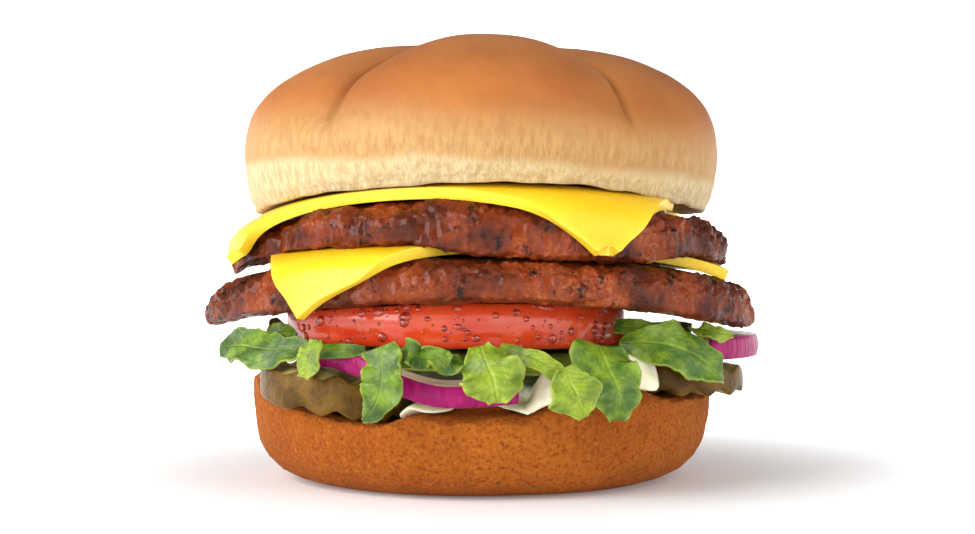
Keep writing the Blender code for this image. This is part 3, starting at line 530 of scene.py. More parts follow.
def leaf_finish(name, dark, bright, pale):
    """Veins branch from a midrib: along and across are stored on the leaf."""
    leaf, spot = finish(name, {"IOR": 1.4, "Coat Weight": 0.12, "Coat Roughness": 0.2,
                               "Subsurface Weight": 0.3, "Subsurface Scale": 0.0015})
    along = spot.stored("along")
    aside = spot.stored("across").size()
    crinkle = spot.grain(420.0, 3.0, 0.6)
    rib = aside.ease(0.10, 0.0)
    branch = ((along * 9.0 - aside * 2.2 + 0.7 * crinkle) * 6.283).sine().ease(0.93, 1.0)
    veins = rib.most(branch * aside.ease(1.0, 0.5))
    tone = spot.grain(190.0, 4.0, 0.6).ease(0.36, 0.64).tint(dark, bright)
    edged = (aside.ease(0.86, 1.0) * 0.35).tint(tone, pale)
    wire(leaf, (veins * 0.22).tint(edged, pale), 0.34 + 0.2 * crinkle, crinkle * 0.8 - veins * 0.25, 0.0009)
    return leaf


def leaf_piece(name, spine, widths, facing_degrees, lean_degrees, ruffle, waves, phase):
    """A torn strip of leaf along a smooth path, ruffled towards its edges.

    spine holds points in millimetres and widths the half widths along it. The leaf faces the
    given heading and leans back by the given angle.
    """
    columns = 90
    rows = 28
    level = math.cos(math.radians(lean_degrees))
    facing = Vector((level * math.cos(heading(facing_degrees)), level * math.sin(heading(facing_degrees)),
                     math.sin(math.radians(lean_degrees))))
    way = [Vector(point) * MM for point in spine]
    last = len(way) - 1

    def path(share):
        place = min(last - 1e-6, max(0.0, share * last))
        index = int(place)
        part = place - index
        before = way[max(0, index - 1)]
        here = way[index]
        after = way[index + 1]
        beyond = way[min(last, index + 2)]
        b = after - before
        c = 2.0 * before - 5.0 * here + 4.0 * after - beyond
        d = 3.0 * here - before - 3.0 * after + beyond
        return (2.0 * here + b * part + c * part ** 2 + d * part ** 3) * 0.5

    points = []
    faces = []
    marks = []
    for column in range(columns + 1):
        share = column / columns
        place = path(share)
        along = (path(min(1.0, share + 0.04)) - path(max(0.0, share - 0.04))).normalized()
        side = along.cross(facing).normalized()
        normal = side.cross(along)
        spot = share * (len(widths) - 1)
        index = min(len(widths) - 2, int(spot))
        passed = smoothstep(0.0, 1.0, spot - index)
        width = (widths[index] + (widths[index + 1] - widths[index]) * passed) * MM
        for row in range(rows + 1):
            across = 2.0 * row / rows - 1.0
            jag = noise.noise(place * 260.0 + Vector((across * 1.5, phase, 0.0)))
            jag += 0.35 * noise.noise(place * 900.0 + Vector((across, phase, 4.0)))
            half = width * (1.15 + 0.30 * jag * abs(across))
            edge = abs(across) ** 2
            turn = waves * share * math.pi + phase + (0.9 if across > 0.0 else 2.1)
            bend = ruffle * MM * edge * math.sin(turn)
            bend += 0.4 * ruffle * MM * edge * math.sin(2.7 * turn + 1.0)
            bend += 0.30 * ruffle * MM * math.sin(0.8 * waves * share * math.pi + 2.0 * across + phase)
            bend += 0.35 * MM * noise.noise((place + side * half * across) * 210.0)
            points.append(place + side * half * across + normal * bend)
            marks.append((share, across))
    for column in range(columns):
        for row in range(rows):
            low = column * (rows + 1) + row
            faces.append((low, low + 1, low + rows + 2, low + rows + 1))
    piece = solid(name, points, faces)
    for number, label in enumerate(("along", "across")):
        mark = piece.data.attributes.new(label, "FLOAT", "POINT")
        for index, values in enumerate(marks):
            mark.data[index].value = values[number]
    wall = piece.modifiers.new("Leaf", "SOLIDIFY")
    wall.thickness = LEAF_THICKNESS
    wall.offset = 0.0
    return piece


# Each leaf: path from its root outwards, half widths, heading it faces, lean, ruffle, waves and phase
LEAVES = {
    "lettuce_left": (
        ((-23.4, -47.5, 30.9), (-32.5, -46.5, 31.1), (-39.0, -42.5, 30.9), (-45.6, -38.0, 30.8),
         (-51.5, -32.0, 31.2), (-56.2, -27.0, 30.7)),
        (0.8, 1.4, 2.3, 3.6, 3.6, 1.5), -35, 25, 0.7, 5.0, 0.4),
    "lettuce_left_back": (
        ((-40.0, -27.0, 32.2), (-43.6, -24.0, 33.6), (-46.7, -22.0, 34.4)),
        (1.3, 2.0, 1.4), -50, 20, 0.4, 3.0, 1.0),
    "lettuce_left_shred": (
        ((-33.3, -49.6, 33.2), (-33.9, -50.6, 31.3), (-34.9, -50.2, 28.4), (-35.6, -49.6, 25.6)),
        (1.2, 2.2, 2.4, 1.2), -30, 5, 0.35, 4.0, 1.0),
    "lettuce_hanging_strip": (
        ((-19.8, -56.0, 32.1), (-19.3, -57.5, 29.2), (-19.3, -58.0, 26.1), (-19.7, -57.5, 22.9),
         (-21.4, -56.0, 19.6), (-23.3, -54.5, 17.3)),
        (3.4, 3.6, 3.7, 3.9, 2.2, 0.4), -18, 0, 0.5, 6.0, 0.5),
    "lettuce_curl": (
        ((-15.5, -54.5, 31.1), (-13.8, -57.5, 31.2), (-11.9, -56.0, 30.0), (-9.2, -58.5, 30.7),
         (-6.5, -57.5, 28.7), (-5.4, -56.6, 28.9), (-4.8, -54.0, 30.2)),
        (1.0, 2.2, 1.8, 1.4, 1.8, 2.0, 1.2), -8, 10, 0.9, 7.0, 2.2),
    "lettuce_middle": (
        ((0.0, -54.5, 32.1), (1.2, -57.5, 29.4), (2.4, -59.0, 26.8), (3.1, -59.5, 24.1), (3.5, -59.0, 21.3)),
        (2.0, 4.1, 5.3, 4.7, 1.6), 4, 0, 0.8, 4.0, 0.0),
    "lettuce_thin_shred": (
        ((4.0, -52.0, 31.7), (7.8, -54.5, 30.7), (11.9, -56.2, 29.2), (14.9, -56.2, 27.3),
         (16.5, -55.8, 25.5)),
        (0.8, 1.4, 1.8, 1.8, 0.8), 12, 10, 0.3, 4.0, 0.8),
    "lettuce_right_lower": (
        ((16.8, -58.3, 28.3), (17.9, -58.1, 25.2), (19.3, -58.6, 22.3), (20.5, -57.6, 18.3)),
        (1.6, 3.4, 4.7, 1.0), 8, 0, 0.5, 4.0, 1.4),
    "lettuce_right_upper": (
        ((23.8, -47.0, 32.1), (25.1, -51.5, 28.9), (26.7, -54.0, 25.5), (27.7, -54.5, 21.7),
         (27.4, -53.0, 17.4)),
        (4.9, 6.0, 5.0, 4.4, 1.4), 22, 5, 0.8, 4.0, 0.2),
    "lettuce_right": (
        ((29.3, -36.0, 31.8), (34.3, -38.5, 32.3), (39.3, -38.5, 31.7), (44.6, -36.5, 29.5),
         (48.8, -35.2, 26.8), (51.6, -33.4, 23.9)),
        (1.1, 3.3, 5.0, 4.6, 3.0, 0.9), 40, 15, 0.7, 4.0, 2.0),
    "lettuce_tucked": (
        ((28.8, -31.0, 35.4), (33.4, -32.5, 35.0), (38.1, -32.0, 35.2)),
        (1.4, 1.7, 0.6), 35, 15, 0.2, 3.0, 0.6),
    "lettuce_far_right": (
        ((45.2, -27.0, 34.4), (47.7, -29.0, 34.6), (51.0, -28.5, 33.6), (54.4, -27.0, 33.2)),
        (0.9, 1.6, 1.5, 0.4), 50, 15, 0.3, 4.0, 0.6),
}
DEEP_LEAVES = ("lettuce_left_back", "lettuce_right_upper", "lettuce_right", "lettuce_tucked")
PALE_LEAVES = ("lettuce_left_shred", "lettuce_middle", "lettuce_thin_shred", "lettuce_right_lower",
               "lettuce_far_right")
green = leaf_finish("leaf_green", (0.032, 0.085, 0.005), (0.15, 0.26, 0.014), (0.36, 0.46, 0.05))
deep_green = leaf_finish("leaf_deep", (0.045, 0.120, 0.007), (0.20, 0.32, 0.018), (0.40, 0.50, 0.06))
pale_green = leaf_finish("leaf_pale", (0.10, 0.17, 0.008), (0.25, 0.35, 0.018), (0.46, 0.53, 0.08))
for node, shape in LEAVES.items():
    leaf = leaf_piece(node + "_leaf", *shape)
    tone = deep_green if node in DEEP_LEAVES else pale_green if node in PALE_LEAVES else green
    seat(leaf, tone, node)


def sag(x, y, left, right, power):
    """How far a layer has sunk at a point, given its sag at the left and at the right, 55 mm out."""
    measured_at = 55.0 * MM
    side = left if x < 0.0 else right
    return side * (abs(x) / measured_at) ** power + 0.5 * MM * (y / measured_at) ** 2


def lower_patty_underside(x, y):
    return LOWER_PATTY_UNDERSIDE - sag(x, y, 5.2 * MM, 6.6 * MM, 2.2)


def bed_point(share, level, angle):
    """The bed is flat under the tomato, turned up beyond its rim and lowered at the front."""
    aside = math.degrees(angle_between(angle, FRONT))
    reach = BED_REACH + 13.0 * MM * smoothstep(58.0, 84.0, aside) * smoothstep(125.0, 95.0, aside)
    front = smoothstep(41.0, 30.0, aside)
    reach += 8.5 * MM * front + 1.0 * MM * math.sin(9.0 * angle)
    x = reach * share * math.cos(angle)
    y = reach * share * math.sin(angle)
    beyond = math.hypot(x - TOMATO_X, y - TOMATO_Y) - TOMATO_RADIUS
    rise = (5.0 + 1.3 * math.sin(13.0 * angle)) * MM * smoothstep(3.0 * MM, 8.0 * MM, beyond)
    wave = 0.2 * MM * math.sin(x * 420.0) * math.sin(y * 380.0)
    wave -= 3.0 * MM * front * smoothstep(36.0 * MM, 44.0 * MM, math.hypot(x, y))
    crinkle = 0.5 * MM * noise.noise(Vector((x, y, 0.0)) * 240.0) * smoothstep(0.7, 0.9, share)
    height = BED_HEIGHT + wave - LAYER_TILT * x + rise + crinkle + level
    return x, y, min(height, lower_patty_underside(x, y) - 1.2 * MM)


bed_rows = [(share, 0.0) for share in (0.0, 0.2, 0.4, 0.6, 0.7, 0.76, 0.82, 0.87, 0.91, 0.95, 0.98, 1.0)]
lettuce_bed = turned("lettuce_bed_leaf", bed_rows, 300, bed_point)
wall = lettuce_bed.modifiers.new("Leaf", "SOLIDIFY")
wall.thickness = LEAF_THICKNESS
wall.offset = 1.0
seat(lettuce_bed, deep_green, "lettuce_bed")


# Tomato
# One thick slice cut across a ripe tomato; at the front its red skin shows, wet and beaded with water.
# The drops are scattered over the skin at their true size and stick to it.

TOMATO_THICKNESS = 9.8 * MM
TOMATO_UNDERSIDE = 31.0 * MM
SKIN_ROWS = 18
SKIN_BULGE = 2.0 * MM
DROPS_PER_SQUARE_METRE = 200000.0
SMALLEST_DROP = 0.18 * MM
LARGEST_DROP = 1.25 * MM
DROP_FLATNESS = 0.55
DROP_SEED = 4


def tomato_point(radius, level, angle):
    """The slice is not quite round, and lies tilted under the arch of the patty."""
    wobble = 1.0 + 0.010 * math.cos(3.0 * angle + 0.6) + 0.006 * math.cos(7.0 * angle)
    x = radius * math.cos(angle) * wobble + TOMATO_X
    y = radius * math.sin(angle) * wobble + TOMATO_Y
    z = TOMATO_UNDERSIDE + level - LAYER_TILT * x
    return x, y, min(z, lower_patty_underside(x, y) - GAP - 0.15 * MM)


tomato_radii = (0.0, 10.0, 20.0, 28.0, 33.0, 35.2)
tomato_rows = [(radius * MM, 0.0) for radius in tomato_radii]
for index in range(SKIN_ROWS):
    turn = (index + 0.5) / SKIN_ROWS * math.pi
    bulge = TOMATO_RADIUS - SKIN_BULGE + SKIN_BULGE * math.sin(turn) ** 0.7
    tomato_rows.append((bulge, TOMATO_THICKNESS * (1.0 - math.cos(turn)) / 2))
tomato_rows += [(radius * MM, TOMATO_THICKNESS) for radius in reversed(tomato_radii)]
tomato = turned("tomato_slice", tomato_rows, 320, tomato_point)
skin_red, spot = finish("tomato_skin", {"IOR": 1.45, "Coat Weight": 0.5, "Specular IOR Level": 0.25,
                                        "Coat Roughness": 0.05,
                                        "Subsurface Weight": 0.12, "Subsurface Scale": 0.003})
streak = spot.scaled(1.0, 1.0, 3.0).grain(60.0, 4.0, 0.6)
fleck = spot.grain(900.0, 2.0, 0.5)
red = streak.ease(0.3, 0.7).tint((0.60, 0.030, 0.006), (0.74, 0.085, 0.016))
wire(skin_red, fleck.ease(0.62, 0.8).tint(red, (0.60, 0.13, 0.04)), 0.2 + 0.1 * fleck,
     spot.grain(260.0, 2.0, 0.5), 0.0003)
seat(tomato, skin_red, "tomato")


def scattered(name, ground, keep, amount, smallest, largest, flatness, seed, material):
    """Small rounded bits spread over the faces of ground that keep chooses.

    A node tree picks the places, sets a bit on each one and turns it to the surface.
    """
    patch = ground.data.copy()
    shape = bmesh.new()
    shape.from_mesh(patch)
    bmesh.ops.delete(shape, geom=[face for face in shape.faces if not keep(face)], context="FACES")
    shape.to_mesh(patch)
    shape.free()
    holder = bpy.data.objects.new(name, patch)
    bpy.context.scene.collection.objects.link(holder)
    tree = bpy.data.node_groups.new(name, "GeometryNodeTree")
    tree.interface.new_socket("Surface", in_out="INPUT", socket_type="NodeSocketGeometry")
    sizes = {"Amount per square metre": amount, "Smallest": smallest, "Largest": largest,
             "Flatness": flatness}
    keys = {}
    for label, value in sizes.items():
        socket = tree.interface.new_socket(label, in_out="INPUT", socket_type="NodeSocketFloat")
        keys[socket.identifier] = value
    tree.interface.new_socket("Bits", in_out="OUTPUT", socket_type="NodeSocketGeometry")
    given = tree.nodes.new("NodeGroupInput")
    surface, per_area, small, large, flat = [Strand(tree, socket) for socket in list(given.outputs)[:5]]
    places = surface.node("GeometryNodeDistributePointsOnFaces", {}, {"Mesh": surface, "Density": per_area,
                                                                       "Seed": seed})
    turn = Strand(tree, places.socket.node.outputs["Rotation"])
    ball = surface.node("GeometryNodeMeshUVSphere", {}, {"Segments": 8, "Rings": 5, "Radius": 1.0})
    squash = surface.node("ShaderNodeCombineXYZ", {}, {0: 1.0, 1: 1.0, 2: flat})
    bit = surface.node("GeometryNodeTransform", {}, {"Geometry": ball, "Scale": squash})
    roll = surface.node("FunctionNodeRandomValue", {"data_type": "FLOAT"}, {2: 0.0, 3: 1.0,
                                                                            "Seed": seed + 1}, 1)
    size = small + (large - small) * roll ** 2.5
    long_side = surface.node("FunctionNodeRandomValue", {"data_type": "FLOAT"}, {2: 0.75, 3: 1.3,
                                                                                 "Seed": seed + 2}, 1)
    scale = surface.node("ShaderNodeCombineXYZ", {}, {0: size * long_side, 1: size, 2: size})
    bits = surface.node("GeometryNodeInstanceOnPoints", {}, {"Points": places, "Instance": bit,
                                                             "Rotation": turn, "Scale": scale})
    whole = surface.node("GeometryNodeRealizeInstances", {}, {"Geometry": bits})
    dressed = surface.node("GeometryNodeSetMaterial", {}, {"Geometry": whole, "Material": material})
    out = tree.nodes.new("NodeGroupOutput")
    tree.links.new(dressed.socket, out.inputs[0])
    spread = holder.modifiers.new("Spread", "NODES")
    spread.node_group = tree
    for key, value in keys.items():
        spread[key] = value
    graph = bpy.context.evaluated_depsgraph_get()
    mesh = bpy.data.meshes.new_from_object(holder.evaluated_get(graph))
    bpy.data.objects.remove(holder, do_unlink=True)
    mesh.shade_smooth()
    piece = bpy.data.objects.new(name, mesh)
    bpy.context.scene.collection.objects.link(piece)
    return piece


water, spot = finish("beads_of_water", {"IOR": 1.4, "Coat Weight": 1.0, "Coat Roughness": 0.02})
depth = spot.grain(700.0, 2.0, 0.5)
seen_red = depth.ease(0.3, 0.7).tint((0.24, 0.008, 0.003), (0.60, 0.060, 0.020))
wire(water, seen_red, 0.08 + 0.06 * depth, depth, 0.0001)
drops = scattered("tomato_drops", tomato,
                  lambda face: face.normal.y < -0.35 and face.calc_center_median().y < -20.0 * MM,
                  DROPS_PER_SQUARE_METRE, SMALLEST_DROP, LARGEST_DROP, DROP_FLATNESS, DROP_SEED, water)
seat(drops, None, None)


# Lower patty
# A hand formed patty of coarse ground beef, seared dark on a hot plate, with a craggy glossy rim.
# It arches over the tomato and sinks at both ends.

LOWER_PATTY_WIDTH = 125.0 * MM
LOWER_PATTY_DEPTH = 113.0 * MM
LOWER_PATTY_TOP = 50.6 * MM
PATTY_TOP_POWER = 4.6
PATTY_UNDERSIDE_POWER = 7.0
MOST_RELIEF = 1.4
NOTCH_WIDTH = math.radians(3.5)


def lower_patty_top(x, y):
    return LOWER_PATTY_TOP - sag(x, y, 2.6 * MM, 4.0 * MM, 2.3)


def patty_power(angle, level):
    """How square the rim is in section: it tapers at the left and right ends."""
    aside = math.cos(angle) ** 4
    if level > 0.5:
        return PATTY_TOP_POWER - (1.4 if math.cos(angle) > 0.0 else 2.0) * aside
    return PATTY_UNDERSIDE_POWER - 2.0 * aside


def patty_point(angle, share, level, width, depth, underside, top):
    """Point on a patty: share of the way out, level 0 for its underside and 1 for its top."""
    power = patty_power(angle, level)
    reach = 1.0 / math.hypot(math.cos(angle) / (width / 2), math.sin(angle) / (depth / 2))
    x = reach * share * math.cos(angle)
    y = reach * share * math.sin(angle)
    low = underside(x, y)
    high = top(x, y)
    half = (1.0 - share ** power) ** (1.0 / power) if share < 1.0 else 0.0
    droop = 0.1 + 0.2 * max(0.0, -math.cos(angle)) ** 4
    middle = low + (high - low) * (0.5 - droop * smoothstep(0.7, 1.0, share))
    if level > 0.5:
        return x, y, middle + (high - middle) * half
    return x, y, middle - (middle - low) * half


def beef_relief(point, seed):
    """How far the meat stands in or out at a point: lumps, torn folds and a grainy crust."""
    spot = point + Vector((seed, seed * 0.7, 0.0))
    lumps = noise.noise(spot * 95.0)
    folds = 1.0 - abs(noise.noise(spot * 150.0 + Vector((0.0, 0.0, 9.0)))) * 2.2
    knobs = noise.noise(spot * 270.0)
    creases = 1.0 - abs(noise.noise(spot * 430.0)) * 2.5
    crust = noise.noise(spot * 700.0) + 0.5 * noise.noise(spot * 1400.0)
    relief = 1.3 * lumps + 0.8 * knobs + 0.85 * crust
    relief -= 1.2 * max(0.0, folds - 0.4) + 0.7 * max(0.0, creases - 0.35)
    return MOST_RELIEF * MM * math.tanh(relief / MOST_RELIEF)


def patty_piece(name, width, depth, underside, top, seed, notch_degrees, notch_depth, swell_at):
    """A turned form with its relief pushed out square to the surface.

    notch_degrees and notch_depth give a torn notch in its rim, and swell_at how much its top is raised.
    """
    steps = 640
    half_rows = 42
    rows = []
    for index in range(half_rows):
        rows.append((math.sin(index / half_rows * math.pi / 2) ** 0.36, 0.0))
    rows.append((1.0, 0.4))
    for index in range(half_rows - 1):
        rows.append((math.cos((index + 1.0) / half_rows * math.pi / 2) ** 0.42, 1.0))
    rows.append((0.0, 1.0))

    def point(share, level, angle):
        base = Vector(patty_point(angle, share, level, width, depth, underside, top))
        power = patty_power(angle, level)
        side = Vector((math.cos(angle), math.sin(angle), 0.0))
        half = (1.0 - share ** power) ** (1.0 / power) if share < 1.0 else 0.0
        rise = half ** (power - 1.0) * 9.0
        facing = side + Vector((0.0, 0.0, rise if level > 0.5 else -rise))
        facing.normalize()
        rim = smoothstep(0.82, 0.95, share)
        relief = beef_relief(base, seed) + 0.3 * MM
        cut = notch_depth * hump(angle_between(angle, heading(notch_degrees)), NOTCH_WIDTH)
        sink = 0.3 * MM * (1.0 - level) * smoothstep(0.0, 0.5, share)
        if level < 0.2:
            relief *= 0.6
        swell = swell_at(base.x, base.y) * half if level > 0.5 else 0.0
        return base + facing * relief * rim - side * cut * rim + Vector((0.0, 0.0, swell - sink))

    return turned(name, rows, steps, point)


def beef_finish(name):
    """Red brown meat in patches, paler where fat shows, and nearly black in the charred folds."""
    seared, spot = finish(name, {"IOR": 1.5, "Coat Weight": 0.30, "Coat Roughness": 0.11,
                                 "Specular IOR Level": 0.08,
                                 "Subsurface Weight": 0.05, "Subsurface Scale": 0.002})
    patch = spot.grain(85.0, 4.0, 0.6)
    crust = spot.grain(900.0, 5.0, 0.75)
    dark_fold = spot.grain(210.0, 4.0, 0.65)
    meat = patch.ease(0.36, 0.66).tint((0.095, 0.013, 0.002), (0.36, 0.055, 0.007))
    fat = (crust * 0.6 + patch * 0.4).ease(0.54, 0.66).tint(meat, (0.48, 0.150, 0.050))
    charred = (crust * 0.45 + dark_fold * 0.55).ease(0.47, 0.38).tint(fat, (0.006, 0.002, 0.001))
    wire(seared, charred, 0.34 + 0.40 * patch, crust, 0.0016)
    return seared


patty_lower = patty_piece("patty_lower_beef", LOWER_PATTY_WIDTH, LOWER_PATTY_DEPTH, lower_patty_underside,
                          lower_patty_top, seed=3.0, notch_degrees=180.0, notch_depth=0.0,
                          swell_at=lambda x, y: 0.0)
seat(patty_lower, beef_finish("lower_beef"), "patty_lower")


# Lower cheese
# A square slice of yellow processed cheese, laid on the hot patty and softened until it drapes.
# Its front left corner hangs over the meat, and the patty above covers the rest.

SLICE_THICKNESS = 2.4 * MM
SLICE_ROOM = SLICE_THICKNESS + 2.0 * GAP


class Slice:
    """Where a slice of cheese lies: its middle, its side, and how its front and its sides are turned."""

    def __init__(self, x, y, side, front_turn, side_turn):
        self.x = x
        self.y = y
        self.side = side
        self.across = (math.cos(front_turn), math.sin(front_turn))
        self.back = (-math.sin(side_turn), math.cos(side_turn))

    def place(self, u, v):
        return (self.x + u * self.across[0] + v * self.back[0],
                self.y + u * self.across[1] + v * self.back[1])

    def outside(self, x, y):
        """How far a point lies outside the slice, negative on it."""
        x -= self.x
        y -= self.y
        size = self.across[0] * self.back[1] - self.across[1] * self.back[0]
        u = (x * self.back[1] - y * self.back[0]) / size
        v = (y * self.across[0] - x * self.across[1]) / size
        return max(abs(u), abs(v)) - self.side / 2

    def cover(self, x, y):
        """1 on the slice, easing to 0 outside it."""
        return 1.0 - smoothstep(4.5 * MM, 11.0 * MM, self.outside(x, y))


LOWER_SLICE = Slice(-0.6 * MM, 9.4 * MM, 99.0 * MM, math.radians(17.0), math.radians(8.0))


def draped_slice(name, slice_at, width, depth, underside, top, floor,
                 bulge, bulge_at, bulge_width, drawn_in):
    """A square grid laid over a patty: flat on its top, bent down past its rim.

    Its front edge is pushed out by bulge, most at bulge_at, which is a share of half the slice. drawn_in,
    from 0 to 1, pulls its right side in, and it can't sink below the floor.
    """
    divisions = 84
    half = slice_at.side / 2
    samples = [index / 40 for index in range(37)] + [0.92, 0.94, 0.96, 0.98, 0.99, 0.996, 1.0]
    points = []
    rims = []
    for row in range(divisions + 1):
        for column in range(divisions + 1):
            u = slice_at.side * (column / divisions - 0.5)
            v = slice_at.side * (row / divisions - 0.5)
            forward = max(0.0, -v / half)
            push = bulge * forward ** 3 * hump(u / half - bulge_at, bulge_width)
            x, y = slice_at.place(u, v - push)
            flat = math.hypot(x, y)
            angle = math.atan2(y, x)
            line = []
            for share in samples:
                px, py, pz = patty_point(angle, share, 1.0, width, depth, underside, top)
                line.append((math.hypot(px, py), pz))
            rim_radius, rim_height = line[-1]
            falls = ((0.6, 3.0), (1.0, 6.0), (1.8, 9.0), (3.5, 13.0), (6.0, 18.0), (14.0, 32.0))
            for beyond, fall in falls:
                radius = rim_radius + beyond * MM
                ground = floor(radius * math.cos(angle), radius * math.sin(angle))
                line.append((radius, max(ground, rim_height - fall * MM)))
            raised = []
            for index, (radius, height) in enumerate(line):
                before = line[max(0, index - 1)]
                after = line[min(len(line) - 1, index + 1)]
                run = after[0] - before[0]
                rise = after[1] - before[1]
                length = math.hypot(run, rise)
                clearance = 0.4 * MM + 0.5 * MM * smoothstep(0.55, 0.85, radius / rim_radius)
                raised.append((radius - rise / length * clearance, height + run / length * clearance))
            aside = math.degrees((angle - FRONT + math.pi) % (2.0 * math.pi) - math.pi)
            slack = rim_radius + 3.0 * MM + 30.0 * MM * smoothstep(10.0 * MM, -10.0 * MM, y)
            window = smoothstep(50.0, 62.0, aside) * smoothstep(125.0, 105.0, aside)
            slack += (41.0 * MM - slack) * window * drawn_in
            flat = min(flat, slack + 0.2 * max(0.0, flat - slack))
            walked = 0.0
            place = raised[0]
            for first, second in zip(raised, raised[1:]):
                step = math.hypot(second[0] - first[0], second[1] - first[1])
                if walked + step >= flat:
                    share = (flat - walked) / step
                    radius = first[0] + (second[0] - first[0]) * share
                    place = (radius, first[1] + (second[1] - first[1]) * share)
                    break
                walked += step
                place = second
            points.append((place[0] * math.cos(angle), place[0] * math.sin(angle), place[1]))
            # 1 at the slice's cut edge, easing to 0 at 1.6 mm in: the weight of the painted highlight along
            # the edges.
            rims.append(1.0 - smoothstep(0.0, 1.6 * MM, half - max(abs(u), abs(v))))
    faces = []
    for row in range(divisions):
        for column in range(divisions):
            low = row * (divisions + 1) + column
            faces.append((low, low + 1, low + divisions + 2, low + divisions + 1))
    piece = solid(name, points, faces)
    edge = piece.data.attributes.new("edge", "FLOAT", "POINT")
    for index, value in enumerate(rims):
        edge.data[index].value = value
    wall = piece.modifiers.new("Slice", "SOLIDIFY")
    wall.thickness = SLICE_THICKNESS
    wall.offset = 1.0
    wall.use_even_offset = False
    soft = piece.modifiers.new("Softened edge", "BEVEL")
    soft.width = 0.8 * MM
    soft.segments = 3
    soft.limit_method = "ANGLE"
    soft.angle_limit = math.radians(50.0)
    return piece


def cheese_finish(name):
    """Smooth yellow with a soft sheen, and a painted highlight that makes it lighter along the cut edges."""
    melted, spot = finish(name, {"IOR": 1.42, "Coat Weight": 0.12, "Coat Roughness": 0.2,
                                 "Specular IOR Level": 0.35,
                                 "Subsurface Weight": 0.2, "Subsurface Scale": 0.004})
    tone = spot.grain(55.0, 3.0, 0.5)
    fine = spot.grain(800.0, 2.0, 0.5)
    edge = spot.stored("edge")
    yellow = tone.ease(0.3, 0.7).tint((0.80, 0.46, 0.004), (0.88, 0.55, 0.010))
    # Near the cut edges the yellow is mixed towards a lighter yellow, a painted highlight along the rounded
    # edge.
    wire(melted, (edge * 0.6).tint(yellow, (0.90, 0.60, 0.040)), 0.3 + 0.12 * fine,
         tone + fine * 0.12, 0.0008)
    return melted


cheese_lower = draped_slice("cheese_lower_slice", LOWER_SLICE, LOWER_PATTY_WIDTH, LOWER_PATTY_DEPTH,
                            lower_patty_underside, lower_patty_top, floor=lambda x, y: 0.0,
                            bulge=7.0 * MM, bulge_at=-0.55, bulge_width=0.36, drawn_in=0.0)
seat(cheese_lower, cheese_finish("lower_cheese"), "cheese_lower")


# Upper patty
# A second patty like the first, a little smaller, pressed down on the lower slice of cheese.
# Its rim has one torn notch at the front left.

UPPER_PATTY_WIDTH = 113.0 * MM
UPPER_PATTY_DEPTH = 107.0 * MM
UPPER_PATTY_TOP = 62.9 * MM
UPPER_SLICE = Slice(1.5 * MM, 1.8 * MM, 94.5 * MM, math.radians(-20.0), math.radians(-20.0))


def upper_patty_top(x, y):
    return UPPER_PATTY_TOP - sag(x, y, 6.2 * MM, 4.4 * MM, 2.2)


def lower_patty_surface(x, y, rounded_to):
    """Height of the lower patty's top, with its rounded rim up to a share of the way out."""
    angle = math.atan2(y, x)
    rim = patty_point(angle, 1.0, 1.0, LOWER_PATTY_WIDTH, LOWER_PATTY_DEPTH,
                      lower_patty_underside, lower_patty_top)
    share = min(rounded_to, math.hypot(x, y) / math.hypot(rim[0], rim[1]))
    return patty_point(angle, share, 1.0, LOWER_PATTY_WIDTH, LOWER_PATTY_DEPTH,
                       lower_patty_underside, lower_patty_top)[2]


def upper_patty_underside(x, y):
    """It rests on the lower slice, and beyond it on the meat."""
    return lower_patty_surface(x, y, 0.92) + SLICE_ROOM * LOWER_SLICE.cover(x, y)


def bare_meat_swell(x, y):
    """Where no cheese lies on it, the right end stands up to the crown."""
    bare = smoothstep(1.0 * MM, 5.0 * MM, UPPER_SLICE.outside(x, y))
    right_end = smoothstep(15.0 * MM, 30.0 * MM, x) * smoothstep(55.0 * MM, 45.0 * MM, x)
    right_end *= smoothstep(5.0 * MM, -5.0 * MM, y)
    return 0.8 * SLICE_ROOM * UPPER_SLICE.cover(x, y) * bare * right_end


patty_upper = patty_piece("patty_upper_beef", UPPER_PATTY_WIDTH, UPPER_PATTY_DEPTH, upper_patty_underside,
                          upper_patty_top, seed=8.0, notch_degrees=-55.0, notch_depth=3.0 * MM,
                          swell_at=bare_meat_swell)
seat(patty_upper, beef_finish("upper_beef"), "patty_upper")


# Upper cheese
# The second slice lies turned on the upper patty, so one corner points left and one hangs at the front.
# Its long front edge bulges over the meat and the crown presses on it.

def floor_below_upper_slice(x, y):
    """Height of the lower patty's rounded top with its cheese, on which the upper slice rests."""
    return lower_patty_surface(x, y, 0.9) + SLICE_ROOM * LOWER_SLICE.cover(x, y) + 0.8 * MM


cheese_upper = draped_slice("cheese_upper_slice", UPPER_SLICE, UPPER_PATTY_WIDTH, UPPER_PATTY_DEPTH,
                            upper_patty_underside, upper_patty_top, floor=floor_below_upper_slice,
                            bulge=5.0 * MM, bulge_at=0.0, bulge_width=0.6, drawn_in=1.0)
seat(cheese_upper, cheese_finish("upper_cheese"), "cheese_upper")


# Crown
# The upper half of the bun, cut with a five petal stamp before baking so that it rises in rounded lobes.
# Its top is baked tan brown, and below a streaky band its torn side fades to pale cream.

PETALS = 5
CROWN_RIM_RADIUS = 51.0 * MM
CROWN_RIM_HEIGHT = 61.5 * MM
CROWN_FREE_HEIGHT = 80.0 * MM
CROWN_WIDTH_SHARE = 0.988
CREASE_DEPTH = 4.2 * MM
LOBE_DROP = 1.4 * MM


def crown_underside(x, y):
    """The upper slice carries the whole crown."""
    bent_slice = 0.3 * MM * smoothstep(28.0 * MM, 46.0 * MM, math.hypot(x, y))
    room = (SLICE_ROOM + bent_slice) * UPPER_SLICE.cover(x, y)
    hanging_rim = (1.0 + 1.3 * smoothstep(20.0 * MM, 45.0 * MM, x)) * MM
    hanging_rim *= smoothstep(43.0 * MM, 51.0 * MM, math.hypot(x, y))
    return upper_patty_top(x, y) + GAP + room - hanging_rim


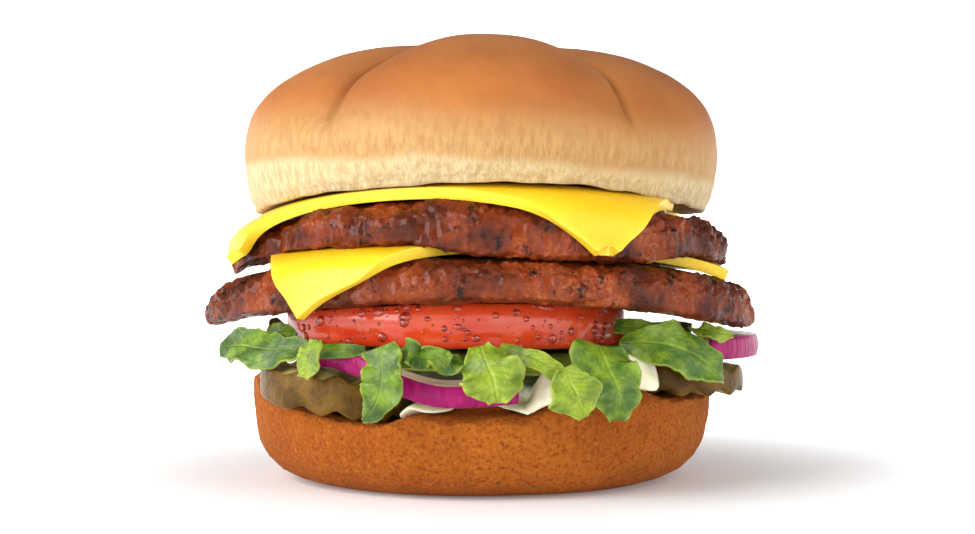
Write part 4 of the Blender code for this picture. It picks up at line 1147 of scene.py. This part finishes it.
def smooth_rows(outline, parts):
    """More points along a (radius, height) outline, on a smooth curve through its points."""
    rows = []
    last = len(outline) - 1
    for index in range(last):
        before = outline[max(0, index - 1)]
        here = outline[index]
        after = outline[index + 1]
        beyond = outline[min(last, index + 2)]
        for step in range(parts):
            t = step / parts
            rows.append(tuple(
                0.5 * (2.0 * p1 + (p2 - p0) * t + (2.0 * p0 - 5.0 * p1 + 4.0 * p2 - p3) * t * t
                       + (3.0 * p1 - p0 - 3.0 * p2 + p3) * t ** 3)
                for p0, p1, p2, p3 in zip(before, here, after, beyond)))
    rows.append(outline[-1])
    return rows


def crown_point(radius, height, angle):
    """Creases part the lobes, the front one stands highest, and the torn rim rests on the layers."""
    x = radius * math.cos(angle)
    y = radius * math.sin(angle)
    z = height
    if z < CROWN_RIM_HEIGHT + 0.1 * MM and radius < 50.0 * MM:
        return x, y, crown_underside(x, y) + 0.1 * MM
    spread = 2.0 * math.pi / PETALS
    twist = math.radians(4.0) * (1.0 - smoothstep(26.0 * MM, 54.0 * MM, radius))
    turn = ((angle - FRONT - twist + spread / 2) % spread - spread / 2) / (spread / 2)
    depth = CREASE_DEPTH * smoothstep(0.0, 26.0 * MM, radius) * smoothstep(73.0 * MM, 86.0 * MM, z)
    front_petal = angle_between(angle, FRONT + twist) < spread / 2
    crease = turn ** 4 if front_petal else 0.8 * turn * turn + 0.2 * abs(turn) ** 8
    crease += 0.42 * hump(1.0 - abs(turn), 0.035)
    steep = smoothstep(40.0 * MM, 56.0 * MM, radius)
    forward = max(0.0, -math.sin(angle))
    rests_at = crown_underside(CROWN_RIM_RADIUS * math.cos(angle), CROWN_RIM_RADIUS * math.sin(angle))
    lift = rests_at - CROWN_RIM_HEIGHT
    if height < CROWN_FREE_HEIGHT:
        weight = (CROWN_FREE_HEIGHT - height) / (CROWN_FREE_HEIGHT - CROWN_RIM_HEIGHT)
        z += lift * weight + 0.1 * MM
    z -= depth * crease * (1.0 - 0.6 * steep)
    drop = LOBE_DROP * smoothstep(8.0 * MM, 22.0 * MM, radius) * (1.0 - forward ** 2)
    z -= drop * smoothstep(80.0 * MM, 95.0 * MM, height)
    inward = depth * crease * steep * 0.55
    spot = Vector((x, y, z))
    swell = 0.5 * MM * noise.noise(spot * 40.0) * smoothstep(5.0 * MM, 20.0 * MM, radius)
    swell += 0.12 * MM * noise.noise(spot * 260.0)
    torn = smoothstep(68.0 * MM, 62.5 * MM, height)
    z += 0.5 * MM * torn * noise.noise(Vector((x, y, 0.0)) * 170.0)
    swell += 0.5 * MM * torn * noise.noise(spot * 330.0)
    grown = 1.0 + (swell - inward) / max(radius, 1.0 * MM)
    return x * grown, y * grown, z


crown_outline = [(0.0, 97.4), (8.0, 98.2), (16.0, 99.2), (23.0, 99.0), (30.0, 97.8), (36.5, 96.0)]
crown_outline += [(42.5, 93.4), (47.5, 90.2), (51.5, 86.0), (54.0, 81.0), (55.0, 75.5), (54.6, 69.5)]
crown_outline += [(53.6, 65.2), (52.2, 62.6)]
crown_rows = [(max(0.0, out) * CROWN_WIDTH_SHARE * MM, up * MM) for out, up in smooth_rows(crown_outline, 7)]
crown_rows += [(out * MM, CROWN_RIM_HEIGHT) for out in (51.4, 50.4, 49.0, 46.5, 43.0, 36.0, 24.0, 0.0)]
crown = turned("crown_bread", crown_rows, 600, crown_point)
crust, spot = finish("crown_crust", {"IOR": 1.4, "Specular IOR Level": 0.3,
                                     "Subsurface Weight": 0.06, "Subsurface Scale": 0.002,
                                     "Coat Weight": 0.06, "Coat Roughness": 0.35})
patch = spot.grain(38.0, 3.0, 0.5)
skin = spot.grain(420.0, 4.0, 0.6)
strands = spot.scaled(1.0, 1.0, 0.3).grain(900.0, 3.0, 0.6)
height = spot.axis(2) + 0.005 * (patch - 0.5) + 0.005 * (strands - 0.5) + 0.05 * spot.axis(0)
brown = patch.ease(0.3, 0.7).tint((0.32, 0.100, 0.022), (0.41, 0.145, 0.032))
tan = strands.ease(0.3, 0.7).tint((0.36, 0.180, 0.056), (0.44, 0.260, 0.094))
milky = strands.ease(0.3, 0.7).tint((0.42, 0.29, 0.130), (0.55, 0.43, 0.24))
side_color = height.ease(0.0682, 0.0705).tint(milky, tan)
crown_color = height.ease(0.0725, 0.0835).tint(side_color, brown)
band = height.ease(0.078, 0.072)
wire(crust, crown_color, 0.5 + 0.2 * skin, skin * 0.3 + band * strands, 0.0006)
seat(crown, crust, "crown")


# Studio
# A white floor under a soft white sky, a broad light from the left and a weak one from the right. The floor
# and the backdrop glow, and the floor's glow is a painted light: faint near the burger and full from 17 cm
# out, so shadows show only close to it.
# The camera stands level with the middle of the burger, 38 cm in front of its centre.

def white_paper(name, near, far):
    """White paper that glows as if lit from behind, a painted light: its glow grows from near to far with
    the distance.
    """
    paper, spot = finish(name, {"Emission Strength": 1.0, "Specular IOR Level": 0.0})
    glow = spot.away_from(0.0, 0.0).ease(0.055, 0.17).tint((near, near, near), (far, far, far))
    grain = spot.grain(30.0)
    wire(paper, grain.tint((0.88, 0.88, 0.88), (0.90, 0.90, 0.90)), 0.9 + 0.02 * grain, grain, 0.00001)
    shader = paper.node_tree.nodes["Principled BSDF"]
    paper.node_tree.links.new(glow.socket, shader.inputs["Emission Color"])
    return paper


ROOM_RADIUS = 3.0
ROOM_HEIGHT = 0.75
SIDES = 32
turns = [step / SIDES * 2.0 * math.pi for step in range(SIDES)]
corners = [(ROOM_RADIUS * math.cos(turn), ROOM_RADIUS * math.sin(turn)) for turn in turns]
floor_mesh = bpy.data.meshes.new("floor")
floor_mesh.from_pydata([(x, y, 0.0) for x, y in corners], [], [tuple(range(SIDES))])
# The floor glows at 0.10 within 5.5 cm of the middle and at 1.0 from 17 cm out: painted light that whitens
# the floor and the shadows on it further out.
floor_mesh.materials.append(white_paper("floor_glowing_paper", 0.10, 1.0))
wall_mesh = bpy.data.meshes.new("backdrop")
wall_faces = []
for step in range(SIDES):
    after = (step + 1) % SIDES
    wall_faces.append((step, after, SIDES + after, SIDES + step))
wall_mesh.from_pydata([(x, y, z) for z in (-0.01, ROOM_HEIGHT) for x, y in corners], [], wall_faces)
wall_mesh.materials.append(white_paper("backdrop_paper", 1.0, 1.0))
for name, mesh in (("floor", floor_mesh), ("backdrop", wall_mesh)):
    paper_piece = bpy.data.objects.new(name, mesh)
    bpy.context.scene.collection.objects.link(paper_piece)

sky = bpy.data.worlds.new("sky")
bpy.context.scene.world = sky
sky.use_nodes = True
sky.node_tree.nodes["Background"].inputs["Color"].default_value = (1.0, 1.0, 1.0, 1.0)
sky.node_tree.nodes["Background"].inputs["Strength"].default_value = 0.4


def soft_light(name, place, power, width):
    """A square panel of light that faces the burger."""
    lamp = bpy.data.lights.new(name, "AREA")
    lamp.energy = power
    lamp.size = width
    holder = bpy.data.objects.new(name, lamp)
    holder.location = place
    aim = Vector((0.0, 0.0, 0.05)) - holder.location
    holder.rotation_euler = aim.to_track_quat("-Z", "Y").to_euler()
    bpy.context.scene.collection.objects.link(holder)


soft_light("left_panel", (-0.60, -0.44, 0.36), 7.8, 0.60)
soft_light("right_panel", (0.60, -0.60, 0.40), 2.2, 0.7)

CAMERA_DISTANCE = 0.380
CAMERA_HEIGHT = 0.048
lens = bpy.data.cameras.new("camera")
lens.sensor_width = 36.0
lens.lens = 60.33
lens.clip_start = 0.01
camera = bpy.data.objects.new("camera", lens)
camera.location = (0.0015, -CAMERA_DISTANCE, CAMERA_HEIGHT)
camera.rotation_euler = (math.pi / 2, 0.0, 0.0)
bpy.context.scene.collection.objects.link(camera)
bpy.context.scene.camera = camera
bpy.context.scene.view_settings.view_transform = "Standard"
